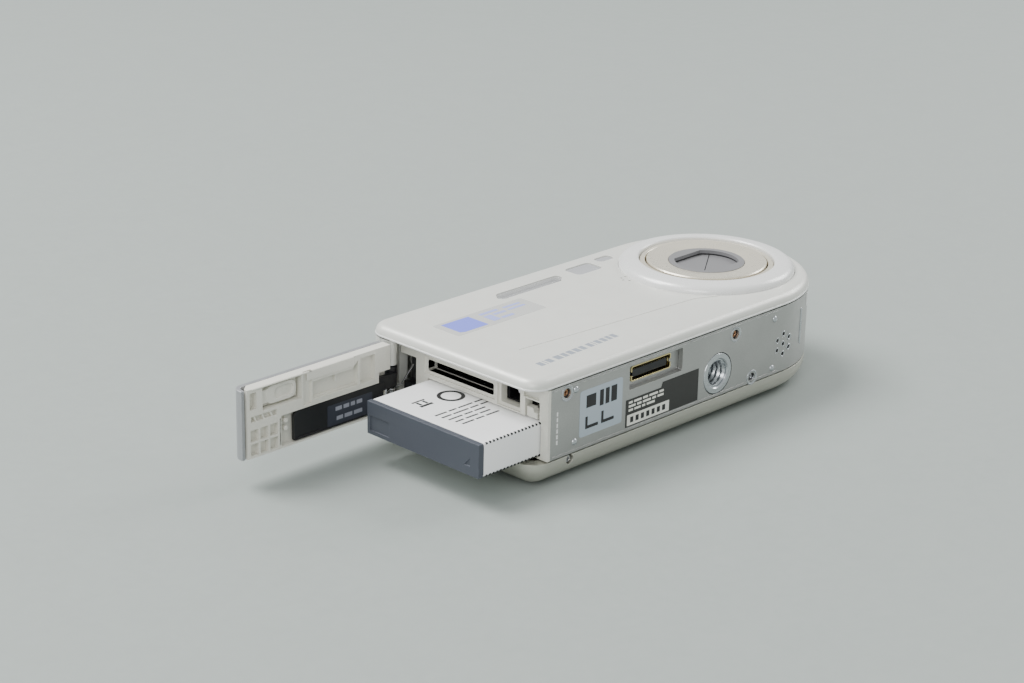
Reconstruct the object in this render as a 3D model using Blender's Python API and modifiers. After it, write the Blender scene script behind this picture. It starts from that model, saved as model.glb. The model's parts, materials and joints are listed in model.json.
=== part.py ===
"""Compact digital camera, lying on its back with the battery door open and the battery drawn out.

Frame: metres in the scene, millimetres in this file's dimensions. +Z is the way the lens points, +X runs
from the battery door to the lens end, and +Y is the camera's top. The origin is on the outer face of the
display window, which the camera rests on.
"""

import math

import bmesh
import bpy
from mathutils import Matrix, Vector

MM = 0.001
GAP = 0.3

# Casing
LEFT = -54.1
RIGHT = 54.1
HALF_HEIGHT = 25.7
CORNER_RADIUS = 4.5
END_CENTRE_X = RIGHT - HALF_HEIGHT
BACK_Z = 0.8
BAND_LOW = 6.3
BAND_HIGH = 22.3
FRONT_Z = 25.0
COVER_WALL = 1.1
BAND_WALL = 1.2
SEAM_ANGLE = -36
END_X = -49.9

# Lens
LENS_X = 30.8
RING_RADIUS = 20.8
RING_TOP = 27.1
BARREL_1_RADIUS = 15.8
BARREL_2_RADIUS = 14.2
BARREL_1_Z = (9.4, 26.4)
BARREL_2_Z = (10.4, 26.8)
DISC_RADIUS = 9.0
DISC_Z = (25.6, 26.5)
MOUTH_RADIUS = 7.6
MOUTH_FLAT = 6.0
SEAM_TILT = 35
BLADE_RADIUS = 8.1
BLADE_PIVOT = (10.4, 1.4)
BLADE_Z = (24.7, 25.3)

# Battery, its bay, and the card slot
BATTERY_Y = (-23.4, 10.5)
BATTERY_Z = (7.1, 14.6)
BATTERY_OUT_X = -67.9
BATTERY_LENGTH = 45.1
BAY_END_X = -0.1
CARD_Y = (-9.5, 12.5)
CARD_Z = (16.7, 19.8)
JACK_Y = (-17.4, -11.9)
JACK_Z = (16.2, 20.5)

# Door, in its own frame: u runs from the pin along the door, w is depth towards its inner face
PIN = (-52.6, 19.8)
PIN_RADIUS = 0.6
KNUCKLE_RADIUS = 1.5
BORE_RADIUS = PIN_RADIUS + GAP
DOOR_U = (2.3, 43.9)
DOOR_W = (-1.3, 2.4)
DOOR_Z = (6.5, 22.1)
FLAP_U = (27.8, 38.3)
FLAP_Z = (16.6, 21.6)

# Underside fittings
TRIPOD = (5.3, 11.8)
TRIPOD_RADIUS = 4.8
THREAD_RADIUS = 2.8
CONNECTOR_X = (-23.3, -10.3)
CONNECTOR_Z = (17.1, 20.7)
SCREWS = ((-44.2, 20.4), (-42.9, 5.0), (11.1, 19.7), (17.7, 7.6))
SPEAKER = (28.7, 13.0)

# Back controls
WINDOW_X = (-14.0, 28.0)
WINDOW_Y = (-17.0, 14.0)
PAD = (-35.5, -4.5)
PAD_RADIUS = 8.2
SET_RADIUS = 3.0
ROCKER = (-36.0, 15.0)
SMALL_BUTTONS = {"display_button": 9.0, "menu_button": 0.0, "delete_button": -9.0}
SMALL_BUTTON_X = -20.5
BUTTON_TOP_Z = 3.3

# Top controls
SHUTTER_X = -37.0
DIAL_X = -16.0
POWER_X = -1.0
TOP_Z = 14.3

# Front windows
FLASH_X = (-22.0, -0.4)
FLASH_Y = 17.6
FINDER = (7.8, 18.3)
LAMP = (16.9, 20.2)
MICROPHONE = (9.6, 6.5)

SILVER = ((0.68, 0.68, 0.65), 0.35, 0.8)
MATT_METAL = ((0.24, 0.24, 0.235), 0.5, 0.8)
BACK_METAL = ((0.35, 0.35, 0.31), 0.45, 0.8)
CHAMPAGNE = ((0.66, 0.62, 0.52), 0.3, 0.9)
GREY = ((0.26, 0.26, 0.27), 0.5, 0.2)
IVORY = ((0.67, 0.65, 0.58), 0.5, 0.0)
WHITE = ((0.85, 0.85, 0.85), 0.4, 0.0)
SLATE = ((0.06, 0.065, 0.085), 0.45, 0.0)
BLACK = ((0.01, 0.01, 0.011), 0.5, 0.0)
STEEL = ((0.55, 0.55, 0.55), 0.25, 1.0)
GOLD = ((0.7, 0.5, 0.18), 0.3, 1.0)
GLASS = ((0.05, 0.06, 0.07), 0.08, 0.0)
CLEAR = ((0.7, 0.7, 0.68), 0.1, 0.0)
BOARD = ((0.02, 0.12, 0.05), 0.5, 0.0)


def clear_scene():
    for obj in list(bpy.data.objects):
        bpy.data.objects.remove(obj, do_unlink=True)


def collection(name):
    made = bpy.data.collections.new(name)
    bpy.context.scene.collection.children.link(made)
    return made


clear_scene()
CAMERA = collection("compact_digital_camera")
CUTTERS = collection("cutters")


def material_of(name, finish):
    colour, roughness, metallic = finish
    material = bpy.data.materials.new(name)
    material.use_nodes = True
    shader = material.node_tree.nodes["Principled BSDF"]
    shader.inputs["Base Color"].default_value = (*colour, 1)
    shader.inputs["Roughness"].default_value = roughness
    shader.inputs["Metallic"].default_value = metallic
    return material


def to_object(name, bm, into, pivot=(0, 0, 0)):
    """A mesh object made from millimetre geometry, with its origin at pivot."""
    bmesh.ops.translate(bm, verts=bm.verts, vec=-Vector(pivot))
    bmesh.ops.scale(bm, verts=bm.verts, vec=(MM, MM, MM))
    bmesh.ops.recalc_face_normals(bm, faces=bm.faces)
    mesh = bpy.data.meshes.new(name)
    bm.to_mesh(mesh)
    bm.free()
    mesh.shade_smooth()
    mesh.set_sharp_from_angle(angle=math.radians(35))
    obj = bpy.data.objects.new(name, mesh)
    obj.location = Vector(pivot) * MM
    into.objects.link(obj)
    return obj


def part(name, bm, finish, cuts=(), pivot=(0, 0, 0), parent=None):
    """A named piece of the camera, with the cutters taken out of it."""
    obj = to_object(name, bm, CAMERA, pivot)
    obj.data.materials.append(material_of(name, finish))
    obj.parent = parent
    for index, (cut, operation) in enumerate(as_cuts(cuts)):
        cutter = to_object(f"{name}_cut_{index}", cut, CUTTERS)
        cutter.parent = parent
        cutter.hide_render = True
        cutter.display_type = "WIRE"
        boolean = obj.modifiers.new(f"cut_{index}", "BOOLEAN")
        boolean.operation = operation
        boolean.object = cutter
    return obj


def as_cuts(cuts):
    return [cut if isinstance(cut, tuple) else (cut, "DIFFERENCE") for cut in cuts]


def box(x, y, z, bevel=0.0, segments=2):
    bm = bmesh.new()
    bmesh.ops.create_cube(bm, size=1)
    size = Vector((x[1] - x[0], y[1] - y[0], z[1] - z[0]))
    bmesh.ops.scale(bm, verts=bm.verts, vec=size)
    bmesh.ops.translate(bm, verts=bm.verts, vec=((x[0] + x[1]) / 2, (y[0] + y[1]) / 2, (z[0] + z[1]) / 2))
    if bevel:
        round_edges(bm, bevel, segments)
    return bm


def round_edges(bm, radius, segments=2, where=lambda edge: True):
    edges = [edge for edge in bm.edges if where(edge)]
    bmesh.ops.bevel(bm, geom=edges, offset=radius, segments=segments, profile=0.5, affect="EDGES")


def tube(start, end, radius, sides=24):
    """A solid cylinder from start to end."""
    start, end = Vector(start), Vector(end)
    axis = end - start
    turn = Vector((0, 0, 1)).rotation_difference(axis).to_matrix().to_4x4()
    bm = bmesh.new()
    bmesh.ops.create_cone(
        bm,
        cap_ends=True,
        segments=sides,
        radius1=radius,
        radius2=radius,
        depth=axis.length,
        matrix=Matrix.Translation((start + end) / 2) @ turn,
    )
    return bm


def slab(points, z):
    """A flat outline, extruded from z[0] up to z[1]."""
    bm = bmesh.new()
    face = bm.faces.new([bm.verts.new((*point, z[0])) for point in points])
    raised = bmesh.ops.extrude_face_region(bm, geom=[face])["geom"]
    top = [item for item in raised if isinstance(item, bmesh.types.BMVert)]
    bmesh.ops.translate(bm, verts=top, vec=(0, 0, z[1] - z[0]))
    return bm


def side_slab(points, y):
    """An (x, z) outline, extruded along the camera's height from y[0] to y[1]."""
    bm = slab(points, y)
    for vert in bm.verts:
        vert.co.y, vert.co.z = vert.co.z, vert.co.y
    return bm


def arc(centre, radius, start, end, steps):
    """Points on an arc, in degrees, both ends included."""
    angles = [math.radians(start + (end - start) * i / steps) for i in range(steps + 1)]
    return [(centre[0] + radius * math.cos(a), centre[1] + radius * math.sin(a)) for a in angles]


def casing_outline(inset=0.0):
    """The casing's outline seen from the front: round at the lens end, with two small corners at the other."""
    left, half = LEFT + inset, HALF_HEIGHT - inset
    radius = CORNER_RADIUS - inset
    corner_x = left + radius
    corner_y = half - radius
    points = arc((corner_x, -corner_y), radius, 180, 270, 5)
    points += arc((END_CENTRE_X, 0), half, -90, 90, 28)
    points += arc((corner_x, corner_y), radius, 90, 180, 5)
    return points


def rounded_rectangle(x, y, radius, steps=4):
    corners = (
        ((x[0] + radius, y[0] + radius), 180),
        ((x[1] - radius, y[0] + radius), 270),
        ((x[1] - radius, y[1] - radius), 0),
        ((x[0] + radius, y[1] - radius), 90),
    )
    points = []
    for centre, start in corners:
        points += arc(centre, radius, start, start + 90, steps)
    return points


def turned(name, profile, finish, centre, steps=40, closed=True, parent=None, cuts=()):
    """A turned piece: (radius, z) points, running down the outer side, swept round the vertical axis."""
    bm = bmesh.new()
    verts = [bm.verts.new((radius, 0, z)) for radius, z in profile]
    for a, b in zip(verts, verts[1:]):
        bm.edges.new((a, b))
    if closed:
        bm.edges.new((verts[-1], verts[0]))
    bmesh.ops.scale(bm, verts=bm.verts, vec=(MM, MM, MM))
    mesh = bpy.data.meshes.new(name)
    bm.to_mesh(mesh)
    bm.free()
    obj = bpy.data.objects.new(name, mesh)
    obj.location = (centre[0] * MM, centre[1] * MM, 0)
    obj.parent = parent
    CAMERA.objects.link(obj)
    mesh.materials.append(material_of(name, finish))
    screw = obj.modifiers.new("turn", "SCREW")
    screw.steps = steps
    screw.render_steps = steps
    screw.use_merge_vertices = True
    screw.merge_threshold = 0.00001
    screw.use_smooth_shade = True
    for index, (cut, operation) in enumerate(as_cuts(cuts)):
        cutter = to_object(f"{name}_cut_{index}", cut, CUTTERS)
        cutter.hide_render = True
        cutter.display_type = "WIRE"
        boolean = obj.modifiers.new(f"cut_{index}", "BOOLEAN")
        boolean.operation = operation
        boolean.object = cutter
    return obj


def on_plate(x, z, radius, y=(-27.0, -22.0), sides=16):
    """A cylinder across the underside's wall, for a hole."""
    return tube((x, y[0], z), (x, y[1], z), radius, sides)


def make_front_panel():
    shell = slab(casing_outline(), (BAND_HIGH + GAP, FRONT_Z))
    round_edges(shell, 2.0, 3, lambda edge: all(v.co.z > FRONT_Z - 0.01 for v in edge.verts))
    cavity = slab(casing_outline(COVER_WALL), (BAND_HIGH, FRONT_Z - COVER_WALL))
    cuts = [
        cavity,
        tube((LENS_X, 0, 20), (LENS_X, 0, 30), RING_RADIUS + GAP, 48),
        slab(flash_outline(GAP), (20, 30)),
        slab(finder_outline(GAP), (20, 30)),
        slab(lamp_outline(GAP), (20, 30)),
    ]
    for index in range(6):
        angle = math.radians(60 * index)
        x = MICROPHONE[0] + 1.25 * math.cos(angle)
        y = MICROPHONE[1] + 1.25 * math.sin(angle)
        cuts.append(tube((x, y, 20), (x, y, 30), 0.32, 8))
    part("front_panel", shell, SILVER, cuts)


def flash_outline(grow):
    x = (FLASH_X[0] - grow, FLASH_X[1] + grow)
    return rounded_rectangle(x, (FLASH_Y - 1.7 - grow, FLASH_Y + 1.7 + grow), 1.4 + grow, 4)


def finder_outline(grow):
    x, y = FINDER
    return rounded_rectangle((x - 4.1 - grow, x + 4.1 + grow), (y - 2.5 - grow, y + 2.5 + grow), 1.2 + grow, 3)


def lamp_outline(grow):
    x, y = LAMP
    return rounded_rectangle((x - 2.4 - grow, x + 2.4 + grow), (y - 1.3 - grow, y + 1.3 + grow), 1.1 + grow, 4)


def make_back_cover():
    shell = slab(casing_outline(), (BACK_Z, BAND_LOW - GAP))
    round_edges(shell, 4.3, 4, lambda edge: all(v.co.z < BACK_Z + 0.01 for v in edge.verts))
    cavity = slab(casing_outline(COVER_WALL + 1.6), (BACK_Z + COVER_WALL, BAND_LOW))
    cuts = [
        cavity,
        box(
            (WINDOW_X[0] - GAP, WINDOW_X[1] + GAP),
            (WINDOW_Y[0] - GAP, WINDOW_Y[1] + GAP),
            (-1, 3),
        ),
        tube((*PAD, -1), (*PAD, 3), PAD_RADIUS + 0.5, 32),
        slab(rocker_outline(0.5), (-1, 3)),
        slab(eyepiece_outline(GAP), (-1, 3)),
        on_plate(*SCREWS[1], 1.1, (-27.0, -21.5)),
    ]
    cuts += [slab(small_button_outline(y, GAP), (-1, 3)) for y in SMALL_BUTTONS.values()]
    part("back_cover", shell, BACK_METAL, cuts)


def rocker_outline(grow):
    x, y = ROCKER
    return rounded_rectangle((x - 8 - grow, x + 8 + grow), (y - 2.6 - grow, y + 2.6 + grow), 2.3 + grow, 4)


def eyepiece_outline(grow):
    x, y = FINDER
    return rounded_rectangle((x - 3.6 - grow, x + 3.6 + grow), (y - 2.4 - grow, y + 2.4 + grow), 1.2 + grow, 3)


def small_button_outline(y, grow):
    x = SMALL_BUTTON_X
    return rounded_rectangle((x - 2.5 - grow, x + 2.5 + grow), (y - 1.6 - grow, y + 1.6 + grow), 1.4 + grow, 4)


def band(start_x, angles, wall):
    """The lower or upper side of the middle band, as a closed outline of constant thickness."""
    half = HALF_HEIGHT
    side = -1 if angles[0] < 0 else 1
    outer = [(start_x, side * half)] + arc((END_CENTRE_X, 0), half, *angles, 12)
    inner = [(start_x, side * (half - wall))] + arc((END_CENTRE_X, 0), half - wall, *angles, 12)
    return outer + inner[::-1]


def make_bottom_plate():
    plate = slab(band(END_X + 0.2, (-90, SEAM_ANGLE - 0.4), BAND_WALL), (BAND_LOW, BAND_HIGH))
    recess_x = (CONNECTOR_X[0] - 1.3, CONNECTOR_X[1] + 3.2)
    cuts = [
        on_plate(*TRIPOD, TRIPOD_RADIUS + GAP, sides=32),
        box(recess_x, (-27, -22), (CONNECTOR_Z[0] - 1.3, CONNECTOR_Z[1] + 0.5)),
    ]
    cuts += [on_plate(x, z, 1.1) for x, z in SCREWS]
    cuts += [on_plate(x, z, 0.45, sides=8) for x, z in speaker_holes()]
    part("bottom_plate", plate, MATT_METAL, cuts)


def speaker_holes():
    x, z = SPEAKER
    return [(x, z)] + [(x + dx, z + dz) for dx, dz in arc((0, 0), 2.45, 30, 330, 5)]


def make_top_cover():
    """The upper side, the round end and the far left corner, with the two lugs that hold the hinge pin."""
    half = HALF_HEIGHT
    inner = half - BAND_WALL
    corner = (LEFT + CORNER_RADIUS, half - CORNER_RADIUS)
    outline = arc((END_CENTRE_X, 0), half, SEAM_ANGLE + 0.4, 90, 26)
    outline += arc(corner, CORNER_RADIUS, 90, 176, 6)
    outline += [(LEFT, 21.6), (-50.0, 21.6), (-50.0, 19.6), (-47.6, 19.6), (-47.6, inner)]
    outline += arc((END_CENTRE_X, 0), inner, 90, SEAM_ANGLE + 0.4, 26)
    cover = slab(outline, (BAND_LOW, BAND_HIGH))
    lugs = []
    for z in ((6.6, 8.2), (16.4, 19.4)):
        lug = arc(PIN, KNUCKLE_RADIUS, 180, 360, 8) + [(PIN[0] + 1.5, 22.2), (PIN[0] - 1.4, 22.2)]
        lugs.append((slab(lug, z), "UNION"))
    cuts = [*lugs, tube((*PIN, 5), (*PIN, 21), BORE_RADIUS, 16)]
    cuts.append(side_slab(shutter_outline(GAP), (23, 27)))
    cuts.append(tube((DIAL_X, 23, TOP_Z), (DIAL_X, 27, TOP_Z), 7.4, 32))
    cuts.append(side_slab(power_outline(GAP), (23, 27)))
    part("top_cover", cover, SILVER, cuts)


def shutter_outline(grow):
    x, z = (SHUTTER_X - 5 - grow, SHUTTER_X + 5 + grow), (TOP_Z - 3.3 - grow, TOP_Z + 3.3 + grow)
    return rounded_rectangle(x, z, 2.9 + grow, 5)


def power_outline(grow):
    x, z = (POWER_X - 4 - grow, POWER_X + 4 + grow), (TOP_Z - 1.6 - grow, TOP_Z + 1.6 + grow)
    return rounded_rectangle(x, z, 1.4 + grow, 4)


def make_end_frame():
    """The ivory frame behind the door, with its windows for battery, card, power plug, latch and hinge."""
    frame = box((END_X, -47.6), (-24.2, 19.3), (BAND_LOW, BAND_HIGH))
    through = (-52, -45)
    cuts = [
        box(through, (BATTERY_Y[0] - GAP, BATTERY_Y[1] + GAP), (BATTERY_Z[0] - GAP, BATTERY_Z[1] + GAP)),
        box(through, CARD_Y, CARD_Z),
        box(through, JACK_Y, JACK_Z),
        box(through, (-23.2, -18.9), (14.5, 19.0)),
        box(through, (14.6, 18.9), (6.9, 19.2)),
    ]
    part("end_frame", frame, IVORY, cuts)


def make_lens_ring():
    r, top = RING_RADIUS, RING_TOP
    crown = [(16.1, top - 0.2), (16.5, top), (18.6, top - 0.2), (20.2, top - 0.9), (r, top - 1.5)]
    turned("lens_ring", [*crown, (r, 23.2), (16.1, 23.2)], SILVER, (LENS_X, 0), 56)


def make_lens():
    centre = (LENS_X, 0)
    turned(
        "lens_housing",
        [(17.5, 22.6), (17.5, 6.6), (5.2, 6.6), (5.2, 7.8), (16.2, 7.8), (16.2, 22.6)],
        BLACK,
        centre,
    )
    r, (low, high) = BARREL_1_RADIUS, BARREL_1_Z
    turned("barrel_1", [(r, high), (r, low), (r - 1.2, low), (r - 1.2, high)], CHAMPAGNE, centre)
    r, (low, high) = BARREL_2_RADIUS, BARREL_2_Z
    hole = DISC_RADIUS + GAP
    front = [(r - 0.3, high), (r, high - 0.3), (r, low), (r - 1.1, low), (r - 1.1, high - 1.1)]
    turned("barrel_2", [*front, (hole, high - 1.1), (hole, high)], CHAMPAGNE, centre)
    make_front_disc()
    for index in (0, 1):
        make_blade(index)
    dome = [(0, 24.2), (3.0, 24.0), (6.0, 23.2), (8.6, 22.0), (8.6, 19.4), (0, 19.4)]
    turned("front_lens", dome, GLASS, centre, 32, False)
    dome = [(0, 14.2), (3.5, 13.9), (5.4, 13.2), (5.4, 11.2), (0, 11.2)]
    turned("rear_lens", dome, GLASS, centre, 24, False)
    part("image_sensor", box((LENS_X - 4.6, LENS_X + 4.6), (-3.8, 3.8), (5.4, 6.3), 0.2, 1), BLACK)
    motor = tube((14.5, -19.5, 7.0), (14.5, -19.5, 17.0), 2.2, 16)
    part("zoom_motor", motor, STEEL)


def make_front_disc():
    """The grey disc round the lens opening, whose mouth is a circle with a flat above and below."""
    disc = slab(arc((LENS_X, 0), DISC_RADIUS, 0, 350, 35), DISC_Z)
    corner = math.degrees(math.asin(MOUTH_FLAT / MOUTH_RADIUS))
    mouth = arc((LENS_X, 0), MOUTH_RADIUS, -corner, corner, 12)
    mouth += arc((LENS_X, 0), MOUTH_RADIUS, 180 - corner, 180 + corner, 12)
    part("lens_front_disc", disc, GREY, [slab(mouth, (24, 28))])


def make_blade(index):
    """One half of the lens barrier, on either side of a slanting seam: a half disc with an arm to its pivot."""
    side = 1 if index == 0 else -1
    edge = 0.15
    reach, rise = BLADE_PIVOT
    points = arc((0, 0), BLADE_RADIUS, 178.9, 22, 14)
    points += [(reach - 0.4, rise + 1.0), (reach + 0.6, rise + 0.6), (reach + 0.9, rise - 0.4), (reach, edge)]
    points.append((-BLADE_RADIUS, edge))
    tilt = Matrix.Rotation(math.radians(SEAM_TILT), 2)
    placed = [tilt @ Vector((x, side * y)) for x, y in points]
    pivot = tilt @ Vector((reach, side * rise))
    outline = slab([(LENS_X + point.x, point.y) for point in placed], BLADE_Z)
    part(f"barrier_blade_{index + 1}", outline, GREY, pivot=(LENS_X + pivot.x, pivot.y, 0))


def make_front_fittings():
    part("flash_window", slab(flash_outline(0), (23.9, FRONT_Z)), CLEAR)
    part("flash_reflector", box((-20.5, -2.0), (16.1, 19.1), (19.6, 23.6), 0.4, 1), STEEL)
    part("flash_capacitor", tube((5.5, 4.0, 10.6), (5.5, 21.5, 10.6), 4.0, 20), BLACK)
    part("viewfinder_window", slab(finder_outline(0), (24.0, FRONT_Z)), CLEAR)
    x, y = FINDER
    part("viewfinder_block", box((x - 3.4, x + 3.4), (y - 2.2, y + 2.2), (15.0, 23.6), 0.4, 1), BLACK)
    part("viewfinder_eyepiece", slab(eyepiece_outline(0), (0.5, 3.6)), CLEAR)
    part("af_lamp_lens", slab(lamp_outline(0), (23.6, FRONT_Z)), CLEAR)
    part("microphone", tube((*MICROPHONE, 20.4), (*MICROPHONE, 22.8), 2.0, 16), BLACK)


def make_underside_fittings():
    x, z = TRIPOD
    flange = on_plate(x, z, TRIPOD_RADIUS, (-25.75, -23.8), 32)
    part(
        "tripod_socket",
        flange,
        STEEL,
        [
            (on_plate(x, z, 4.3, (-24.0, -18.6), 24), "UNION"),
            on_plate(x, z, THREAD_RADIUS, (-27.0, -19.6), 24),
        ],
    )
    for index, (x, z) in enumerate(SCREWS):
        part(f"case_screw_{index + 1}", on_plate(x, z, 0.8, (-25.1, -23.0), 12), STEEL)
    shell = box(CONNECTOR_X, (-25.0, -19.6), CONNECTOR_Z)
    wall = 0.4
    hollow_x = (CONNECTOR_X[0] + wall, CONNECTOR_X[1] - wall)
    hollow = box(hollow_x, (-26, -20.2), (CONNECTOR_Z[0] + wall, CONNECTOR_Z[1] - wall))
    part("connector_shell", shell, GOLD, [hollow])
    part("connector_core", box((-21.8, -11.8), (-24.4, -20.5), (18.3, 19.5), 0.15, 1), BLACK)
    x, z = SPEAKER
    part("speaker", on_plate(x, z, 5.0, (-23.4, -21.4), 20), BLACK)


def make_electronics():
    part("main_board", box((-45.5, 37.0), (-19.0, 19.5), (4.4, 5.1)), BOARD)
    part("lcd_panel", box((-12.5, 26.5), (-15.5, 12.5), (1.5, 4.0), 0.3, 1), STEEL)
    part("lcd_window", box(WINDOW_X, WINDOW_Y, (0.0, 1.2), 0.35, 2), GLASS)
    y = (BATTERY_Y[0] - GAP, BATTERY_Y[1] + GAP)
    z = (BATTERY_Z[0] - GAP, BATTERY_Z[1] + GAP)
    bay = box((-47.3, BAY_END_X), (y[0] - 0.5, y[1] + 0.7), (z[0] - 0.5, z[1] + 0.7))
    part("battery_bay", bay, IVORY, [box((-50, BAY_END_X - 0.7), y, z)])
    carrier = box((-1.5, -1.1), (-9.0, 2.4), (9.4, 12.2))
    blades = [(box((-2.0, -1.3), (y0, y0 + 1.8), (9.9, 11.7)), "UNION") for y0 in (-8.5, -4.2, 0.1)]
    part("battery_terminals", carrier, GOLD, blades)
    cage = box((-47.3, 3.0), (CARD_Y[0] - 0.8, CARD_Y[1] + 0.8), (CARD_Z[0] - 0.7, CARD_Z[1] + 0.7))
    part("card_slot", cage, STEEL, [box((-50, 2.3), CARD_Y, CARD_Z)])
    jack = box((-47.3, -37.5), (JACK_Y[0] - 0.6, -10.7), (JACK_Z[0] - 0.2, JACK_Z[1] + 0.7))
    part("dc_jack", jack, BLACK, [box((-50, -40.0), JACK_Y, (JACK_Z[0] + 0.1, JACK_Z[1]))])


def make_controls():
    x, y = PAD
    pad = tube((x, y, BACK_Z), (x, y, BUTTON_TOP_Z - 0.6), PAD_RADIUS, 32)
    round_edges(pad, 0.5, 2, lambda edge: all(v.co.z < BACK_Z + 0.01 for v in edge.verts))
    part("control_pad", pad, SILVER, [tube((x, y, 0), (x, y, 3), SET_RADIUS + GAP, 20)], pivot=(x, y, 3.0))
    part("control_gimbal", tube((x, y, BUTTON_TOP_Z + 0.1), (x, y, 4.0), 5.0, 20), BLACK, pivot=(x, y, 3.0))
    button = tube((x, y, BACK_Z - 0.1), (x, y, 2.4), SET_RADIUS, 20)
    round_edges(button, 0.3, 2, lambda edge: all(v.co.z < BACK_Z for v in edge.verts))
    part("set_button", button, SILVER, pivot=(x, y, 1.0))
    rocker = slab(rocker_outline(0), (BACK_Z, 2.9))
    part("zoom_rocker", rocker, SILVER, pivot=(*ROCKER, 2.6))
    for name, y in SMALL_BUTTONS.items():
        outline = slab(small_button_outline(y, 0), (0.5, BUTTON_TOP_Z))
        part(name, outline, SILVER, pivot=(SMALL_BUTTON_X, y, 0.5))
    shutter = side_slab(shutter_outline(0), (23.0, 26.4))
    part("shutter_button", shutter, SILVER, pivot=(SHUTTER_X, 26.4, TOP_Z))
    power = side_slab(power_outline(0), (23.0, 26.1))
    part("power_button", power, SILVER, pivot=(POWER_X, 26.1, TOP_Z))
    dial = tube((DIAL_X, 23.3, TOP_Z), (DIAL_X, 26.9, TOP_Z), 7.1, 36)
    round_edges(dial, 0.5, 2, lambda edge: all(v.co.y > 26.8 for v in edge.verts))
    part("mode_dial", dial, SILVER, pivot=(DIAL_X, 26.9, TOP_Z))


def make_battery():
    x = BATTERY_OUT_X
    part("battery_cap", box((x, x + 1.3), BATTERY_Y, BATTERY_Z, 0.3, 1), SLATE)
    part("battery_pack", box((x + 1.6, x + BATTERY_LENGTH), BATTERY_Y, BATTERY_Z, 0.3, 1), WHITE)
    lever = box((-49.7, -48.0), (-22.4, -19.3), (14.95, 17.2), 0.3, 1)
    part("battery_lock", lever, IVORY)


def make_door():
    """The door's pieces, in the door's own frame, hung from an empty on the hinge pin."""
    hinge = bpy.data.objects.new("door_hinge", None)
    hinge.location = (PIN[0] * MM, PIN[1] * MM, 0)
    hinge.rotation_euler = (0, 0, math.pi)
    CAMERA.objects.link(hinge)
    u, w, z = DOOR_U, DOOR_W, DOOR_Z
    flap_hole = box((FLAP_U[0] - GAP, FLAP_U[1] + GAP), (-5, 5), (FLAP_Z[0] - GAP, FLAP_Z[1] + GAP))
    skin = slab(skin_outline(), z)
    part("door_skin", skin, SILVER, [flap_hole], parent=hinge)
    slider = slab([(u[0], 0), (u[1] - 3.0, 0), (u[1] - 1.3, 1.5), (u[1] - 1.3, w[1]), (u[0], w[1])], z)
    cuts = [
        box((FLAP_U[0] - GAP, FLAP_U[1] + GAP), (-5, 5), (FLAP_Z[0] - GAP, FLAP_Z[1] + GAP)),
        box((0, 33.4), (0.9, 5), (6.9, 14.0)),
        box((0, 5.6), (0.6, 5), (11.0, 16.4)),
        box((13.2, 24.6), (1.2, 5), (15.0, 20.6)),
        box((6.9, 10.9), (1.2, 5), (15.4, 20.2)),
    ]
    for column in range(3):
        for row in range(2):
            u0 = 34.4 + 2.8 * column
            z0 = 7.6 + 3.1 * row
            cuts.append(box((u0, u0 + 2.1), (0.9, 5), (z0, z0 + 2.4)))
    part("door_slider", slider, IVORY, cuts, parent=hinge)
    flap = box(FLAP_U, (w[0], 0.7), FLAP_Z, 0.2, 1)
    part("jack_cover", flap, IVORY, pivot=(FLAP_U[1] + 0.15, w[0], 0), parent=hinge)
    arm = box((4.0, 29.7), (1.3, 2.2), (7.2, 13.7))
    knuckle = tube((0, 0, 11.3), (0, 0, 16.1), KNUCKLE_RADIUS, 20)
    web = box((0, 5.0), (1.0, 2.1), (11.3, 14.9))
    bore = tube((0, 0, 5), (0, 0, 20), BORE_RADIUS, 16)
    part("hinge_arm", arm, BLACK, [(web, "UNION"), (knuckle, "UNION"), bore], parent=hinge)


def skin_outline():
    """The door's outer skin seen along the pin: flat, with its free end turned in round a corner."""
    u, w = DOOR_U, DOOR_W
    outer = arc((u[1] - 2.6, w[0] + 2.6), 2.6, 270, 360, 5)
    inner = arc((u[1] - 2.6, w[0] + 2.6), 1.6, 360, 270, 5)
    return [(u[0], w[0]), *outer, (u[1], w[1] - 0.3), (u[1] - 0.9, w[1] - 0.3), *inner, (u[0], w[0] + 1.0)]


def make_hinge():
    pin = tube((*PIN, 6.6), (*PIN, 20.6), PIN_RADIUS, 16)
    part("hinge_pin", pin, STEEL)
    block = box((-49.5, -44.0), (15.0, 18.6), (7.2, 12.0))
    part("hinge_block", block, BLACK, [(box((-47.2, -44.0), (15.0, 18.6), (11.0, 18.9)), "UNION")])
    turns, low, high, radius = 5, 8.8, 10.8, 1.25
    count = turns * 12
    points = []
    for i in range(count + 1):
        angle = math.radians(30 * i - 20)
        height = low + (high - low) * i / count
        points.append((PIN[0] + radius * math.cos(angle), PIN[1] + radius * math.sin(angle), height))
    points += [(-50.3, 18.6, 11.4), (-49.2, 17.7, 13.9), (-48.2, 16.9, 15.9)]
    wire("hinge_spring", points, 0.18, STEEL)


def wire(name, points, radius, finish):
    curve = bpy.data.curves.new(name, "CURVE")
    curve.dimensions = "3D"
    curve.bevel_depth = radius * MM
    curve.bevel_resolution = 2
    curve.use_fill_caps = True
    spline = curve.splines.new("POLY")
    spline.points.add(len(points) - 1)
    for point, (x, y, z) in zip(spline.points, points):
        point.co = (x * MM, y * MM, z * MM, 1)
    obj = bpy.data.objects.new(name, curve)
    curve.materials.append(material_of(name, finish))
    CAMERA.objects.link(obj)


make_front_panel()
make_back_cover()
make_bottom_plate()
make_top_cover()
make_end_frame()
make_lens_ring()
make_lens()
make_front_fittings()
make_underside_fittings()
make_electronics()
make_controls()
make_battery()
make_door()
make_hinge()
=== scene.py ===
"""The looks of the compact digital camera: finer meshes, materials, floor, light and view.

Sizes are in millimetres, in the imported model's frame, and raw() scales each mesh to metres as it is made.
"""
import json
import math
import random

import bmesh
import bpy
from mathutils import Matrix, Vector


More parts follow.
